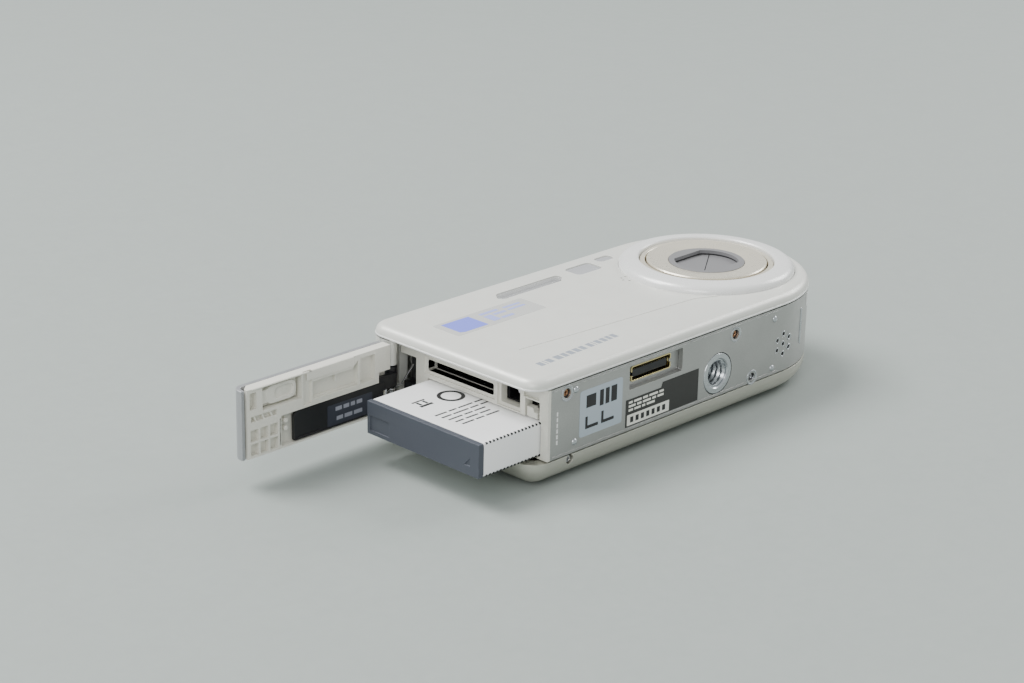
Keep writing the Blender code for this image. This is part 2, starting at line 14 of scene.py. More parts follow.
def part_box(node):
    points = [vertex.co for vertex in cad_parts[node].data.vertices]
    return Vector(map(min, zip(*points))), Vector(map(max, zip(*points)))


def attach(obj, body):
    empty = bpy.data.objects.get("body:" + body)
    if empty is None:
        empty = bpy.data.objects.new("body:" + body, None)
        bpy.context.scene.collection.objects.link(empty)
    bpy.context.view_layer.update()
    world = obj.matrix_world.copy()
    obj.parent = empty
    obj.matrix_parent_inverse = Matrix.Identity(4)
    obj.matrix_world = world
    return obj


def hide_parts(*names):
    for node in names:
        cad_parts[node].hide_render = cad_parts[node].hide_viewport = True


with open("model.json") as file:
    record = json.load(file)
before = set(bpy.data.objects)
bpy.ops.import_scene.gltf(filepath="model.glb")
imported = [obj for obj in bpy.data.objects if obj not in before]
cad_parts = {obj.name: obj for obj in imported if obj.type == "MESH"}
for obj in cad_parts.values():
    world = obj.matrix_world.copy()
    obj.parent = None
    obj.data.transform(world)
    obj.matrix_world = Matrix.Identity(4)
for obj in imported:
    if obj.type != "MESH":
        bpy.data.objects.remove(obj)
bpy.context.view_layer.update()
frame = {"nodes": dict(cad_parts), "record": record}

MM = 0.001
BODY = "camera_body"


def span(node):
    low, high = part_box(node)
    return [(low[axis] / MM, high[axis] / MM) for axis in range(3)]


def middle(pair):
    return (pair[0] + pair[1]) / 2


def grown(pair, by):
    return (pair[0] - by, pair[1] + by)


def centre_of(node):
    """The middle of a node on the underside or the top, as (x, z)."""
    x, _, z = span(node)
    return (middle(x), middle(z))


def radius_of(node):
    x, _, _ = span(node)
    return (x[1] - x[0]) / 2


(LEFT, RIGHT), (_, HALF), (PANEL_LOW, PANEL_TOP) = span("front_panel")
_, (PLATE_Y, _), (BAND_LOW, BAND_HIGH) = span("bottom_plate")
BACK_LOW, BACK_HIGH = span("back_cover")[2]
RING_X, _, (RING_LOW, RING_TOP) = span("lens_ring")
LENS = (middle(RING_X), 0)
RING_RADIUS = radius_of("lens_ring")
END_CENTRE_X = RIGHT - HALF
CORNER = 4.5
WALL = 1.1
BAND_WALL = 1.2
WINDOW_GAP = 0.12
CUT_FRONT = (20, 30)
CUT_BACK = (-1, 3)
CUT_TOP = (23, 27)
CUT_UNDERSIDE = (-27, -22)
END_X = span("end_frame")[0][0]
BATTERY_X, BATTERY_Y, BATTERY_Z = span("battery_pack")
CAP_X = span("battery_cap")[0]
PIN_X, PIN_Y, _ = span("hinge_pin")
PIN = (middle(PIN_X), middle(PIN_Y))
PIN_BORE = 0.8
KNUCKLE = 1.5
TRIPOD = centre_of("tripod_socket")
SCREW_NODES = [f"case_screw_{index}" for index in (1, 2, 3, 4)]


# ---------- materials

def srgb(red, green, blue):
    def linear(value):
        value /= 255
        return value / 12.92 if value < 0.04045 else ((value + 0.055) / 1.055) ** 2.4

    return (linear(red), linear(green), linear(blue), 1.0)


def shade(colour, factor):
    return (*[min(1.0, value * factor) for value in colour[:3]], 1.0)


WORN_EDGE = 0.4 * MM
GRAIN_DEPTH = 0.04 * MM


def surface(
    name, colour, roughness, metallic=0.0, grain=2600.0, bump=0.08, mottle=0.05, wear=0.0, rings=None, **more
):
    """A procedural finish: mottled colour, grain in bump and roughness, smudges, and edges worn pale."""
    material = bpy.data.materials.new(name)
    material.use_nodes = True
    nodes, links = material.node_tree.nodes, material.node_tree.links
    shader = nodes["Principled BSDF"]
    shader.inputs["Metallic"].default_value = metallic
    for key, value in more.items():
        shader.inputs[key.replace("_", " ")].default_value = value
    place = nodes.new("ShaderNodeTexCoord").outputs["Object"]

    def feed(socket, value):
        if isinstance(value, bpy.types.NodeSocket):
            links.new(value, socket)
        else:
            socket.default_value = value

    def noise(scale, detail):
        node = nodes.new("ShaderNodeTexNoise")
        node.inputs["Scale"].default_value = scale
        node.inputs["Detail"].default_value = detail
        links.new(place, node.inputs["Vector"])
        return node.outputs["Fac"]

    def remap(value, low, high, to_low, to_high):
        node = nodes.new("ShaderNodeMapRange")
        links.new(value, node.inputs["Value"])
        limits = {"From Min": low, "From Max": high, "To Min": to_low, "To Max": to_high}
        for key, number in limits.items():
            node.inputs[key].default_value = number
        return node.outputs["Result"]

    def mix(factor, first, second):
        node = nodes.new("ShaderNodeMix")
        node.data_type = "RGBA"
        for key, value in {"Factor": factor, "A": first, "B": second}.items():
            feed(node.inputs[key], value)
        return node.outputs["Result"]

    def maths(operation, first, second):
        node = nodes.new("ShaderNodeMath")
        node.operation = operation
        feed(node.inputs[0], first)
        feed(node.inputs[1], second)
        return node.outputs[0]

    clouds = noise(90.0, 6.0)
    fine = noise(grain, 3.0)
    smudge = noise(240.0, 4.0)
    dark = shade(colour, 1 - mottle)
    tint = mix(remap(clouds, 0.35, 0.65, 0.0, 1.0), dark, shade(colour, 1 + mottle * 0.6))
    speckle = mix(remap(fine, 0.3, 0.7, 0.0, 1.0), dark, shade(colour, 1 + mottle))
    colour_out = mix(0.5, tint, speckle)
    smudged = remap(smudge, 0.3, 0.7, roughness - 0.06, roughness + 0.05)
    rough_out = maths("ADD", smudged, remap(fine, 0.3, 0.7, -0.03, 0.03))
    if wear:
        softened = nodes.new("ShaderNodeBevel")
        softened.samples = 4
        softened.inputs["Radius"].default_value = WORN_EDGE
        flat = nodes.new("ShaderNodeNewGeometry")
        dot = nodes.new("ShaderNodeVectorMath")
        dot.operation = "DOT_PRODUCT"
        links.new(softened.outputs["Normal"], dot.inputs[0])
        links.new(flat.outputs["Normal"], dot.inputs[1])
        edge = remap(dot.outputs["Value"], 0.99, 0.86, 0.0, 1.0)
        patchy = maths("MULTIPLY", edge, remap(noise(700.0, 4.0), 0.42, 0.6, 0.0, wear))
        colour_out = mix(patchy, colour_out, shade(colour, 1.5))
    links.new(colour_out, shader.inputs["Base Color"])
    links.new(rough_out, shader.inputs["Roughness"])
    height = fine
    if rings:
        turned = nodes.new("ShaderNodeTexWave")
        turned.wave_type = "RINGS"
        turned.rings_direction = "Z"
        turned.inputs["Scale"].default_value = rings
        turned.inputs["Distortion"].default_value = 0.4
        links.new(place, turned.inputs["Vector"])
        height = maths("ADD", fine, turned.outputs["Fac"])
    relief = nodes.new("ShaderNodeBump")
    relief.inputs["Strength"].default_value = bump
    relief.inputs["Distance"].default_value = GRAIN_DEPTH
    links.new(height, relief.inputs["Height"])
    links.new(relief.outputs["Normal"], shader.inputs["Normal"])
    return material


FRONT = surface("front_satin_silver", srgb(228, 228, 221), 0.38, 0.18, 5200, 0.08, 0.02, wear=0.4)
PLATE = surface("plate_blasted_metal", srgb(176, 176, 174), 0.36, 0.85, 3000, 0.45, 0.10, wear=0.8)
BACK = surface("back_satin_metal", srgb(196, 195, 184), 0.38, 0.70, 4200, 0.20, 0.05, wear=0.5)
TOP = surface("top_satin_silver", srgb(220, 220, 214), 0.38, 0.30, 5000, 0.08, 0.03, wear=0.4)
RING = surface("ring_polished", srgb(240, 240, 238), 0.28, 0.12, 5200, 0.03, 0.012, wear=0.2)
BARREL = surface("barrel_champagne", srgb(224, 217, 200), 0.30, 0.45, 5200, 0.04, 0.02, rings=900.0)
LENS_GREY = surface("lens_grey_plastic", srgb(128, 127, 129), 0.48, 0.1, 4200, 0.20, 0.05)
IVORY = surface("ivory_moulded", srgb(222, 220, 210), 0.50, 0.0, 2400, 0.25, 0.05, wear=0.2)
BLACK = surface("black_moulded", srgb(26, 26, 29), 0.42, 0.0, 2600, 0.30, 0.12, wear=0.35)
SLATE = surface("slate_moulded", srgb(70, 74, 84), 0.46, 0.0, 2400, 0.30, 0.06, wear=0.8)
# Mid grey, darker than the front's silver: partly the door's own metal, partly a painted reflection of dark
# surroundings on its free edge.
DOOR_SKIN = surface("door_satin_metal", srgb(176, 177, 180), 0.38, 0.65, 4800, 0.10, 0.04, wear=0.4)
WHITE = surface("white_printed_film", srgb(251, 251, 251), 0.36, 0.0, 1800, 0.05, 0.01)
INK = surface("black_ink", srgb(30, 30, 32), 0.50, 0.0, 3000, 0.05, 0.15)
STEEL = surface("bright_steel", srgb(190, 190, 192), 0.24, 1.0, 3200, 0.12, 0.06)
ZINC = surface("zinc_plate", srgb(190, 194, 197), 0.26, 0.9, 3000, 0.15, 0.07, wear=0.4)
COPPER = surface("copper_screw", srgb(176, 132, 98), 0.36, 0.9, 3000, 0.20, 0.20)
GOLD = surface("gold_plate", srgb(222, 206, 154), 0.26, 1.0, 3000, 0.10, 0.08)
BOARD = surface("board_lacquer", srgb(32, 96, 56), 0.30, 0.0, 900, 0.20, 0.18)
SLEEVE = surface("capacitor_sleeve", srgb(24, 24, 27), 0.30, 0.0, 1800, 0.05, 0.10)
PALE_LABEL = surface("pale_label_film", srgb(178, 189, 199), 0.40, 0.1, 1800, 0.05, 0.03)
DARK_LABEL = surface("dark_label_print", srgb(48, 48, 46), 0.45, 0.1, 1800, 0.05, 0.08)
CREAM = surface("cream_strip", srgb(236, 235, 226), 0.45, 0.0, 1800, 0.05, 0.03)
BLUE = surface("blue_print", srgb(124, 134, 236), 0.35, 0.0, 1800, 0.04, 0.03)
PALE_BLUE = surface("pale_blue_print", srgb(168, 176, 236), 0.35, 0.0, 1800, 0.04, 0.05)
STICKER = surface("sticker_film", srgb(219, 219, 215), 0.25, 0.3, 3000, 0.03, 0.02)
FACE_PRINT = surface("grey_front_print", srgb(160, 166, 176), 0.45, 0.2, 2600, 0.05, 0.05)
LABEL_SLATE = surface("arm_label_print", srgb(52, 55, 66), 0.42, 0.0, 1800, 0.05, 0.06)
ARM_PRINT = surface("arm_pale_print", srgb(146, 148, 160), 0.45, 0.0, 1800, 0.05, 0.06)
CLEAR = surface("clear_window", srgb(196, 197, 200), 0.12, 0.0, 2600, 0.03, 0.03, Alpha=0.72, IOR=1.49)
FLASH_CLEAR = surface("flash_prism", srgb(216, 217, 218), 0.08, 0.0, 2600, 0.03, 0.03, Alpha=0.35, IOR=1.49)
FOIL = surface("reflector_foil", srgb(232, 232, 230), 0.20, 0.9, 2400, 0.20, 0.06)
LENS_GLASS = surface("coated_glass", srgb(26, 30, 44), 0.05, 0.0, 900, 0.01, 0.05, Coat_Weight=1.0, IOR=1.6)
DISPLAY = surface("display_glass", srgb(16, 18, 20), 0.10, 0.0, 1200, 0.02, 0.10, Coat_Weight=0.6, IOR=1.5)
BUTTON = surface("button_satin", srgb(204, 204, 200), 0.34, 0.55, 4600, 0.10, 0.03, wear=0.5)

SLOT_FINISH = {
    "front_metal": FRONT,
    "plate_metal": PLATE,
    "back_metal": BACK,
    "top_metal": TOP,
    "ring_metal": RING,
    "barrel_metal": BARREL,
    "lens_grey": LENS_GREY,
    "ivory_plastic": IVORY,
    "black_plastic": BLACK,
    "silver_button": BUTTON,
    "battery_white": WHITE,
    "battery_slate": SLATE,
    "clear_window": CLEAR,
    "lens_glass": LENS_GLASS,
    "display_glass": DISPLAY,
    "steel": STEEL,
    "zinc": ZINC,
    "gold_contact": GOLD,
    "board_green": BOARD,
    "capacitor_black": SLEEVE,
}


# ---------- shapes

def box(x, y, z):
    bm = bmesh.new()
    bmesh.ops.create_cube(bm, size=1)
    bmesh.ops.scale(bm, verts=bm.verts, vec=(x[1] - x[0], y[1] - y[0], z[1] - z[0]))
    bmesh.ops.translate(bm, verts=bm.verts, vec=(middle(x), middle(y), middle(z)))
    return bm


def tube(start, end, radius, sides):
    start, end = Vector(start), Vector(end)
    turn = Vector((0, 0, 1)).rotation_difference(end - start).to_matrix().to_4x4()
    bm = bmesh.new()
    bmesh.ops.create_cone(
        bm,
        cap_ends=True,
        segments=sides,
        radius1=radius,
        radius2=radius,
        depth=(end - start).length,
        matrix=Matrix.Translation((start + end) / 2) @ turn,
    )
    return bm


def post(centre, radius, z, sides):
    """A round bar along the camera's thickness, from z[0] up to z[1]."""
    return tube((*centre, z[0]), (*centre, z[1]), radius, sides)


def across(x, z, radius, y=CUT_UNDERSIDE, sides=32):
    """A round bar along the camera's height, from y[0] to y[1]."""
    return tube((x, y[0], z), (x, y[1], z), radius, sides)


def slab(points, z):
    """A flat (x, y) outline, extruded from z[0] up to z[1]."""
    bm = bmesh.new()
    face = bm.faces.new([bm.verts.new((*point, z[0])) for point in points])
    raised = bmesh.ops.extrude_face_region(bm, geom=[face])["geom"]
    top = [item for item in raised if isinstance(item, bmesh.types.BMVert)]
    bmesh.ops.translate(bm, verts=top, vec=(0, 0, z[1] - z[0]))
    return bm


def side_slab(points, y):
    """An (x, z) outline, extruded along the camera's height from y[0] to y[1]."""
    bm = slab(points, y)
    for vert in bm.verts:
        vert.co.y, vert.co.z = vert.co.z, vert.co.y
    return bm


def end_slab(points, x):
    """A (y, z) outline, extruded along the camera's length from x[0] to x[1]."""
    bm = slab(points, x)
    for vert in bm.verts:
        vert.co = vert.co.zxy
    return bm


def arc(centre, radius, start, end, steps):
    angles = [math.radians(start + (end - start) * i / steps) for i in range(steps + 1)]
    return [(centre[0] + radius * math.cos(a), centre[1] + radius * math.sin(a)) for a in angles]


def rounded(x, y, radius, steps=8):
    centres = (
        ((x[0] + radius, y[0] + radius), 180),
        ((x[1] - radius, y[0] + radius), 270),
        ((x[1] - radius, y[1] - radius), 0),
        ((x[0] + radius, y[1] - radius), 90),
    )
    return [point for centre, start in centres for point in arc(centre, radius, start, start + 90, steps)]


def casing(inset=0.0):
    """The casing's outline seen from the front."""
    half, radius = HALF - inset, CORNER - inset
    corner = (LEFT + inset + radius, half - radius)
    points = arc((corner[0], -corner[1]), radius, 180, 270, 12)
    points += arc((END_CENTRE_X, 0), half, -90, 90, 96)
    return points + arc(corner, radius, 90, 180, 12)


def lathe(profile, centre, steps=128, closed=True):
    """A turned shape from (radius, z) points, round a vertical axis."""
    bm = bmesh.new()
    verts = [bm.verts.new((radius, 0, z)) for radius, z in profile]
    edges = [bm.edges.new(pair) for pair in zip(verts, verts[1:])]
    if closed:
        edges.append(bm.edges.new((verts[-1], verts[0])))
    bmesh.ops.spin(bm, geom=verts + edges, cent=(0, 0, 0), axis=(0, 0, 1), angle=math.tau, steps=steps)
    bmesh.ops.remove_doubles(bm, verts=bm.verts, dist=0.0005)
    bmesh.ops.translate(bm, verts=bm.verts, vec=(*centre, 0))
    return bm


def facing_down(bm, x, y, z):
    """Turns a shape from the vertical axis to stand out of the underside at this place."""
    bmesh.ops.rotate(bm, verts=bm.verts, matrix=Matrix.Rotation(math.pi / 2, 3, "X"))
    bmesh.ops.translate(bm, verts=bm.verts, vec=(x, y, z))
    return bm


def bar_row(start, widths, gap):
    """The (start, end) of each bar in a row of bars with these widths."""
    spans = []
    for width in widths:
        spans.append((start, start + width))
        start += width + gap
    return spans


def round_top(bm, radius, segments, where):
    edges = [edge for edge in bm.edges if all(where(vert.co) for vert in edge.verts)]
    bmesh.ops.bevel(bm, geom=edges, offset=radius, segments=segments, profile=0.5, affect="EDGES")
    return bm


def joined(shapes):
    """Several shapes in one mesh."""
    whole = bmesh.new()
    for shape in shapes:
        mesh = bpy.data.meshes.new("joined")
        shape.to_mesh(mesh)
        shape.free()
        whole.from_mesh(mesh)
        bpy.data.meshes.remove(mesh)
    return whole


def raw(name, bm):
    bmesh.ops.recalc_face_normals(bm, faces=bm.faces)
    if bm.calc_volume(signed=True) < 0:
        bmesh.ops.reverse_faces(bm, faces=bm.faces)
    bmesh.ops.scale(bm, verts=bm.verts, vec=(MM, MM, MM))
    mesh = bpy.data.meshes.new(name)
    bm.to_mesh(mesh)
    bm.free()
    obj = bpy.data.objects.new(name, mesh)
    bpy.context.scene.collection.objects.link(obj)
    return obj


def piece(
    name, bm, finish, body=BODY, slot=None, stands_for=(), cuts=(), adds=(), bevel=0.1, segments=3, sharp=32
):
    """A visible piece: its shape with the additions joined and the cutters taken out, its edges rounded."""
    obj = raw(name, bm)
    tools = [("UNION", raw("tool", shape)) for shape in adds]
    tools += [("DIFFERENCE", raw("tool", shape)) for shape in cuts]
    for operation, tool in tools:
        boolean = obj.modifiers.new("shape", "BOOLEAN")
        boolean.operation = operation
        boolean.object = tool
    if tools:
        graph = bpy.context.evaluated_depsgraph_get()
        obj.data = bpy.data.meshes.new_from_object(obj.evaluated_get(graph))
        obj.modifiers.clear()
        for _, tool in tools:
            bpy.data.objects.remove(tool, do_unlink=True)
    obj.data.shade_smooth()
    obj.data.set_sharp_from_angle(angle=math.radians(sharp))
    obj.data.materials.clear()
    obj.data.materials.append(finish)
    if bevel:
        soften = obj.modifiers.new("soften", "BEVEL")
        soften.width = bevel * MM
        soften.segments = segments
        soften.limit_method = "ANGLE"
        soften.angle_limit = math.radians(sharp)
        soften.harden_normals = True
    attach(obj, body)
    if stands_for:
        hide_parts(*stands_for)
    return obj


def ink(name, shapes, body):
    """Flat dark marks on a part that moves."""
    piece(name, joined(shapes), INK, body, "black_plastic", bevel=0)


# ---------- casing

FLASH_X, FLASH_Y = span("flash_window")[:2]
FINDER_X, FINDER_Y = span("viewfinder_window")[:2]
LAMP_X, LAMP_Y = span("af_lamp_lens")[:2]
MIC_X, MIC_Y = span("microphone")[:2]
MIC = (middle(MIC_X), middle(MIC_Y))
GLASS_TOP = PANEL_TOP - 0.2


def flash_outline(grow=0.0):
    """The flash window, with slanted tips."""
    (x0, x1), (y0, y1) = grown(FLASH_X, grow), grown(FLASH_Y, grow)
    lean = 0.9
    points = arc((x0 + 1.6, y0 + 1.5), 1.5, 180, 270, 6)
    points += arc((x1 - 1.7 - lean, y0 + 1.2), 1.2, 270, 330, 5)
    points += arc((x1 - 1.3, y1 - 1.3), 1.3, -30, 90, 8)
    return points + arc((x0 + 1.5 + lean, y1 - 1.2), 1.2, 90, 150, 5)


def finder_outline(grow=0.0):
    return rounded(grown(FINDER_X, grow), grown(FINDER_Y, grow), 1.2 + grow)


def lamp_outline(grow=0.0):
    return rounded(grown(LAMP_X, grow), grown(LAMP_Y, grow), 1.1 + grow)


def make_front():
    shell = slab(casing(), (PANEL_LOW, PANEL_TOP))
    round_top(shell, 2.0, 10, lambda co: co.z > PANEL_TOP - 0.01)
    cuts = [
        slab(casing(WALL), (PANEL_LOW - 1, PANEL_TOP - WALL)),
        post(LENS, RING_RADIUS + WINDOW_GAP, CUT_FRONT, 160),
    ]
    cuts += [slab(outline(WINDOW_GAP), CUT_FRONT) for outline in (flash_outline, finder_outline, lamp_outline)]
    holes = [(MIC[0] + x, MIC[1] + y) for x, y in arc((0.6, 0), 1.45, 0, 300, 5)]
    cuts.append(joined([post(hole, 0.34, CUT_FRONT, 20) for hole in holes]))
    piece("front_shell", shell, FRONT, stands_for=["front_panel"], cuts=cuts, bevel=0.12)
    lip = slab(casing(-0.12), (PANEL_LOW, PANEL_LOW + 0.42))
    piece("panel_bead", lip, RING, slot="front_metal", cuts=[slab(casing(0.4), CUT_FRONT)], bevel=0.12)
    make_flash()
    glass = (24.0, GLASS_TOP)
    piece("finder_glass", slab(finder_outline(), glass), CLEAR, stands_for=["viewfinder_window"], bevel=0.2)
    piece("lamp_glass", slab(lamp_outline(), glass), CLEAR, stands_for=["af_lamp_lens"], bevel=0.2)
    x, y = middle(FINDER_X), middle(FINDER_Y)
    tunnel = box((x - 3.4, x + 3.4), (y - 2.2, y + 2.2), (15.0, 23.6))
    well = slab(rounded((x - 2.4, x + 2.4), (y - 1.5, y + 1.5), 0.5), (18.0, 24.0))
    piece("finder_tunnel", tunnel, BLACK, stands_for=["viewfinder_block"], cuts=[well])


def make_flash():
    """A ribbed prism over a dish, its tube and a strip of crinkled foil."""
    prism = slab(flash_outline(), (23.9, GLASS_TOP))
    rib_y = grown(FLASH_Y, -0.6)
    ribs = joined([box((x / 10, x / 10 + 0.25), rib_y, (23.0, 24.1)) for x in range(-205, -20, 7)])
    piece("flash_lens", prism, FLASH_CLEAR, slot="clear_window", stands_for=["flash_window"], cuts=[ribs])
    dish = box((-20.5, -2.0), (16.1, 19.1), (19.6, 23.6))
    hollow = side_slab([(-20.2, 23.7), (-16.5, 20.4), (-6.0, 20.4), (-2.3, 23.7)], (16.4, 18.8))
    piece("flash_dish", dish, STEEL, stands_for=["flash_reflector"], cuts=[hollow], bevel=0.05)
    y = 17.6
    lamp = tube((-18.5, y, 22.4), (-4.0, y, 22.4), 0.8, 24)
    piece("flash_tube", lamp, FLASH_CLEAR, slot="clear_window", bevel=0.2)
    crinkle = random.Random(7)
    foil = bmesh.new()
    columns, rows = 22, 5
    centre_x, length, width = -8.2, 10.2, 1.8
    top, base = 23.3, 21.6
    bmesh.ops.create_grid(foil, x_segments=columns, y_segments=rows, size=0.5)
    for vert in foil.verts:
        vert.co.x = centre_x + length * vert.co.x + crinkle.uniform(-0.2, 0.2)
        vert.co.y = y + width * vert.co.y + crinkle.uniform(-0.1, 0.1)
        vert.co.z = top + crinkle.uniform(-0.35, 0.3)
    solid = bmesh.ops.extrude_face_region(foil, geom=list(foil.faces))["geom"]
    lowered = [item for item in solid if isinstance(item, bmesh.types.BMVert)]
    for vert in lowered:
        vert.co.z = base
    piece("flash_foil", foil, FOIL, slot="steel", bevel=0, sharp=12)


def make_front_marks():
    """The protective sticker and the plain printed marks: blocks and bars, with no lettering."""
    film = (PANEL_TOP, PANEL_TOP + 0.03)
    printed = (film[1], film[1] + 0.02)
    outline = rounded((-45.8, -18.1), (5.4, 13.8), 0.5, 3)
    piece("sticker_film", slab(outline, film), STICKER, slot="clear_window", bevel=0)
    square = [(-43.9, 6.4), (-35.6, 6.4), (-35.6, 12.9), (-43.9, 12.9)]
    hollow = post((-44.6, 4.0), 3.0, (24, 26), 40)
    piece("sticker_square", slab(square, printed), BLUE, slot="clear_window", cuts=[hollow], bevel=0)
    bars = [
        ((-33.0, -27.4), (11.4, 12.4)),
        ((-33.2, -30.9), (7.0, 10.6)),
        ((-30.3, -26.6), (7.0, 8.0)),
        ((-30.3, -26.6), (9.6, 10.6)),
        ((-25.7, -20.4), (9.8, 10.6)),
        ((-25.7, -20.4), (11.4, 12.2)),
    ]
    shapes = [box(x, y, printed) for x, y in bars]
    piece("sticker_bars", joined(shapes), PALE_BLUE, slot="clear_window", bevel=0)
    start, rise, height = -45.4, 0.05, 2.0
    widths = (1.4, 0.3, 1.5, 0, 1.8, 1.3, 1.5, 1.5, 1.3, 0, 1.3, 0.3, 1.3, 1.3, 1.1, 1.3)
    shapes = []
    for x in bar_row(start, widths, 0.55):
        if x[1] > x[0]:
            y = -19.3 + rise * (x[0] - start)
            shapes.append(box(x, (y, y + height), (PANEL_TOP, PANEL_TOP + 0.02)))
    piece("front_print", joined(shapes), FACE_PRINT, slot="front_metal", bevel=0)


def make_crease():
    """The shallow crease that leaves the lens ring and fades along the front."""
    points = [(16.4, -15.4), (11.0, -12.9), (0.0, -12.1), (-12.0, -11.5), (-30.0, -10.2), (-42.0, -9.2)]
    width = (0.4, 0.42, 0.36, 0.28, 0.18, 0.04)
    near = [(x, y - w) for (x, y), w in zip(points, width)]
    far = [(x, y + w) for (x, y), w in zip(points, width)]
    ridge = slab(near + far[::-1], (PANEL_TOP - 0.02, PANEL_TOP + 0.12))
    piece("front_crease", ridge, FRONT, bevel=0.11, segments=4)


def band(x, angles, wall):
    """The side band's outline seen from the front, from x along the underside and round the end."""
    outer = [(x, -HALF)] + arc((END_CENTRE_X, 0), HALF, *angles, 48)
    inner = [(x, -(HALF - wall))] + arc((END_CENTRE_X, 0), HALF - wall, *angles, 48)
    return outer + inner[::-1]


SEAM = -36
SEAM_GAP = 0.4
CONNECTOR_X, CONNECTOR_Y, CONNECTOR_Z = span("connector_shell")
RECESS_X = (CONNECTOR_X[0] - 1.3, CONNECTOR_X[1] + 3.2)
RECESS_Z = (CONNECTOR_Z[0] - 1.3, CONNECTOR_Z[1] + 0.5)
SPEAKER = centre_of("speaker")
SCREW_HOLE = 1.1
EDGE_SCREW = "case_screw_2"
COPPER_SCREWS = ("case_screw_1", "case_screw_3")


def make_underside():
    start = END_X + 0.9
    plate = slab(band(start, (-90, SEAM - SEAM_GAP), BAND_WALL), (BAND_LOW, BAND_HIGH))
    holes = [SPEAKER] + [(SPEAKER[0] + x, SPEAKER[1] + z) for x, z in arc((0, 0), 2.45, 30, 330, 5)]
    cuts = [
        across(*TRIPOD, 4.95, sides=96),
        side_slab(rounded(RECESS_X, RECESS_Z, 0.4), CUT_UNDERSIDE),
        joined([across(x, z, 0.45, sides=20) for x, z in holes]),
        joined([across(*centre_of(node), SCREW_HOLE) for node in SCREW_NODES]),
    ]
    piece("underside_plate", plate, PLATE, stands_for=["bottom_plate"], cuts=cuts, bevel=0.14)
    rims = []
    for x, z in holes:
        rim = lathe([(0.46, -0.05), (0.56, 0.05), (0.66, 0.05), (0.76, -0.05)], (0, 0), 24)
        rims.append(facing_down(rim, x, PLATE_Y, z))
    piece("speaker_rims", joined(rims), ZINC, slot="plate_metal", bevel=0)
    border_x, border_y = (start + 0.6, 27.0), (PLATE_Y - 0.1, PLATE_Y + 0.2)
    border = joined([box(border_x, border_y, z) for z in ((21.55, 21.9), (6.75, 7.0))])
    piece("plate_border", border, PLATE, bevel=0.05, segments=2)
    dome = [(0, 0.56), (0.4, 0.48), (0.7, 0.26), (0.85, -0.05), (0.85, -0.3), (0, -0.3)]
    for index, (x, z) in enumerate(((-41.5, 20.5), (-41.6, 8.6), (25.1, 19.9), (25.0, 7.9))):
        bump = facing_down(lathe(dome, (0, 0), 32, False), x, PLATE_Y + 0.1, z)
        piece(f"foot_bump_{index + 1}", bump, ZINC, slot="plate_metal", bevel=0)
    rib_at, clip_at = (arc((END_CENTRE_X, 0), HALF, angle, angle, 1)[0] for angle in (-71.5, -61.5))
    piece("seam_rib", post(rib_at, 0.26, (10.8, 19.6), 20), ZINC, slot="plate_metal", bevel=0.1)
    piece("seam_clip", post(clip_at, 0.3, (18.6, 22.1), 20), RING, slot="plate_metal", bevel=0.12)


def make_screws():
    """Cross-headed screws. The one at the plate's edge has no bright rim."""
    half, slit, cross_y = 0.55, 0.12, (-26, -24.75)
    raised = [(1.08, -0.15), (1.6, 0.14), (1.78, 0.08), (1.85, -0.1), (1.7, -0.3), (1.08, -0.6)]
    for index, node in enumerate(SCREW_NODES):
        x, z = centre_of(node)
        head = across(x, z, 0.8, (-25.1, -23.0))
        cross = [
            box((x - half, x + half), cross_y, (z - slit, z + slit)),
            box((x - slit, x + slit), cross_y, (z - half, z + half)),
        ]
        finish = COPPER if node in COPPER_SCREWS else STEEL
        piece(f"screw_head_{index + 1}", head, finish, slot="steel", stands_for=[node], cuts=cross, bevel=0.06)
        if node != EDGE_SCREW:
            rim = facing_down(lathe(raised, (0, 0), 48), x, PLATE_Y - 0.02, z)
            piece(f"screw_rim_{index + 1}", rim, ZINC, slot="plate_metal", bevel=0)


def make_tripod_socket():
    x, z = TRIPOD
    flange = [(4.8, 0.0), (4.65, 0.22), (3.6, 0.22), (3.3, -0.1), (3.3, -1.8), (4.8, -1.8)]
    rim = facing_down(lathe(flange, (0, 0), 96), x, -25.55, z)
    piece("tripod_rim", rim, ZINC, stands_for=["tripod_socket"], bevel=0.08)
    piece("tripod_thread", facing_down(threaded_bush(), x, -25.2, z), ZINC, bevel=0, sharp=50)


def threaded_bush():
    """A blind bush, open at the top, whose bore is a real helical thread."""
    bm = bmesh.new()
    pitch, around, levels, depth = 1.27, 72, 44, 5.8
    crest, thread, outside, floor_thickness = 2.75, 0.42, 3.7, 0.3
    rows = []
    for level in range(levels + 1):
        down = depth * level / levels
        row = []
        for step in range(around):
            angle = math.tau * step / around
            phase = (down / pitch - step / around) % 1.0
            radius = crest + thread * abs(2 * phase - 1)
            row.append(bm.verts.new((radius * math.cos(angle), radius * math.sin(angle), -down)))
        rows.append(row)
    for upper, lower in zip(rows, rows[1:]):
        for step in range(around):
            after = (step + 1) % around
            bm.faces.new((upper[step], upper[after], lower[after], lower[step]))
    circle = arc((0, 0), outside, 0, 360 - 360 / around, around - 1)
    top, bottom = [[bm.verts.new((*point, z)) for point in circle] for z in (0.0, -depth - floor_thickness)]
    floor = bm.verts.new((0, 0, -depth))
    for step in range(around):
        after = (step + 1) % around
        bm.faces.new((rows[0][after], rows[0][step], top[step], top[after]))
        bm.faces.new((top[after], top[step], bottom[step], bottom[after]))
        bm.faces.new((rows[-1][step], rows[-1][after], floor))
    bm.faces.new(bottom)
    return bm


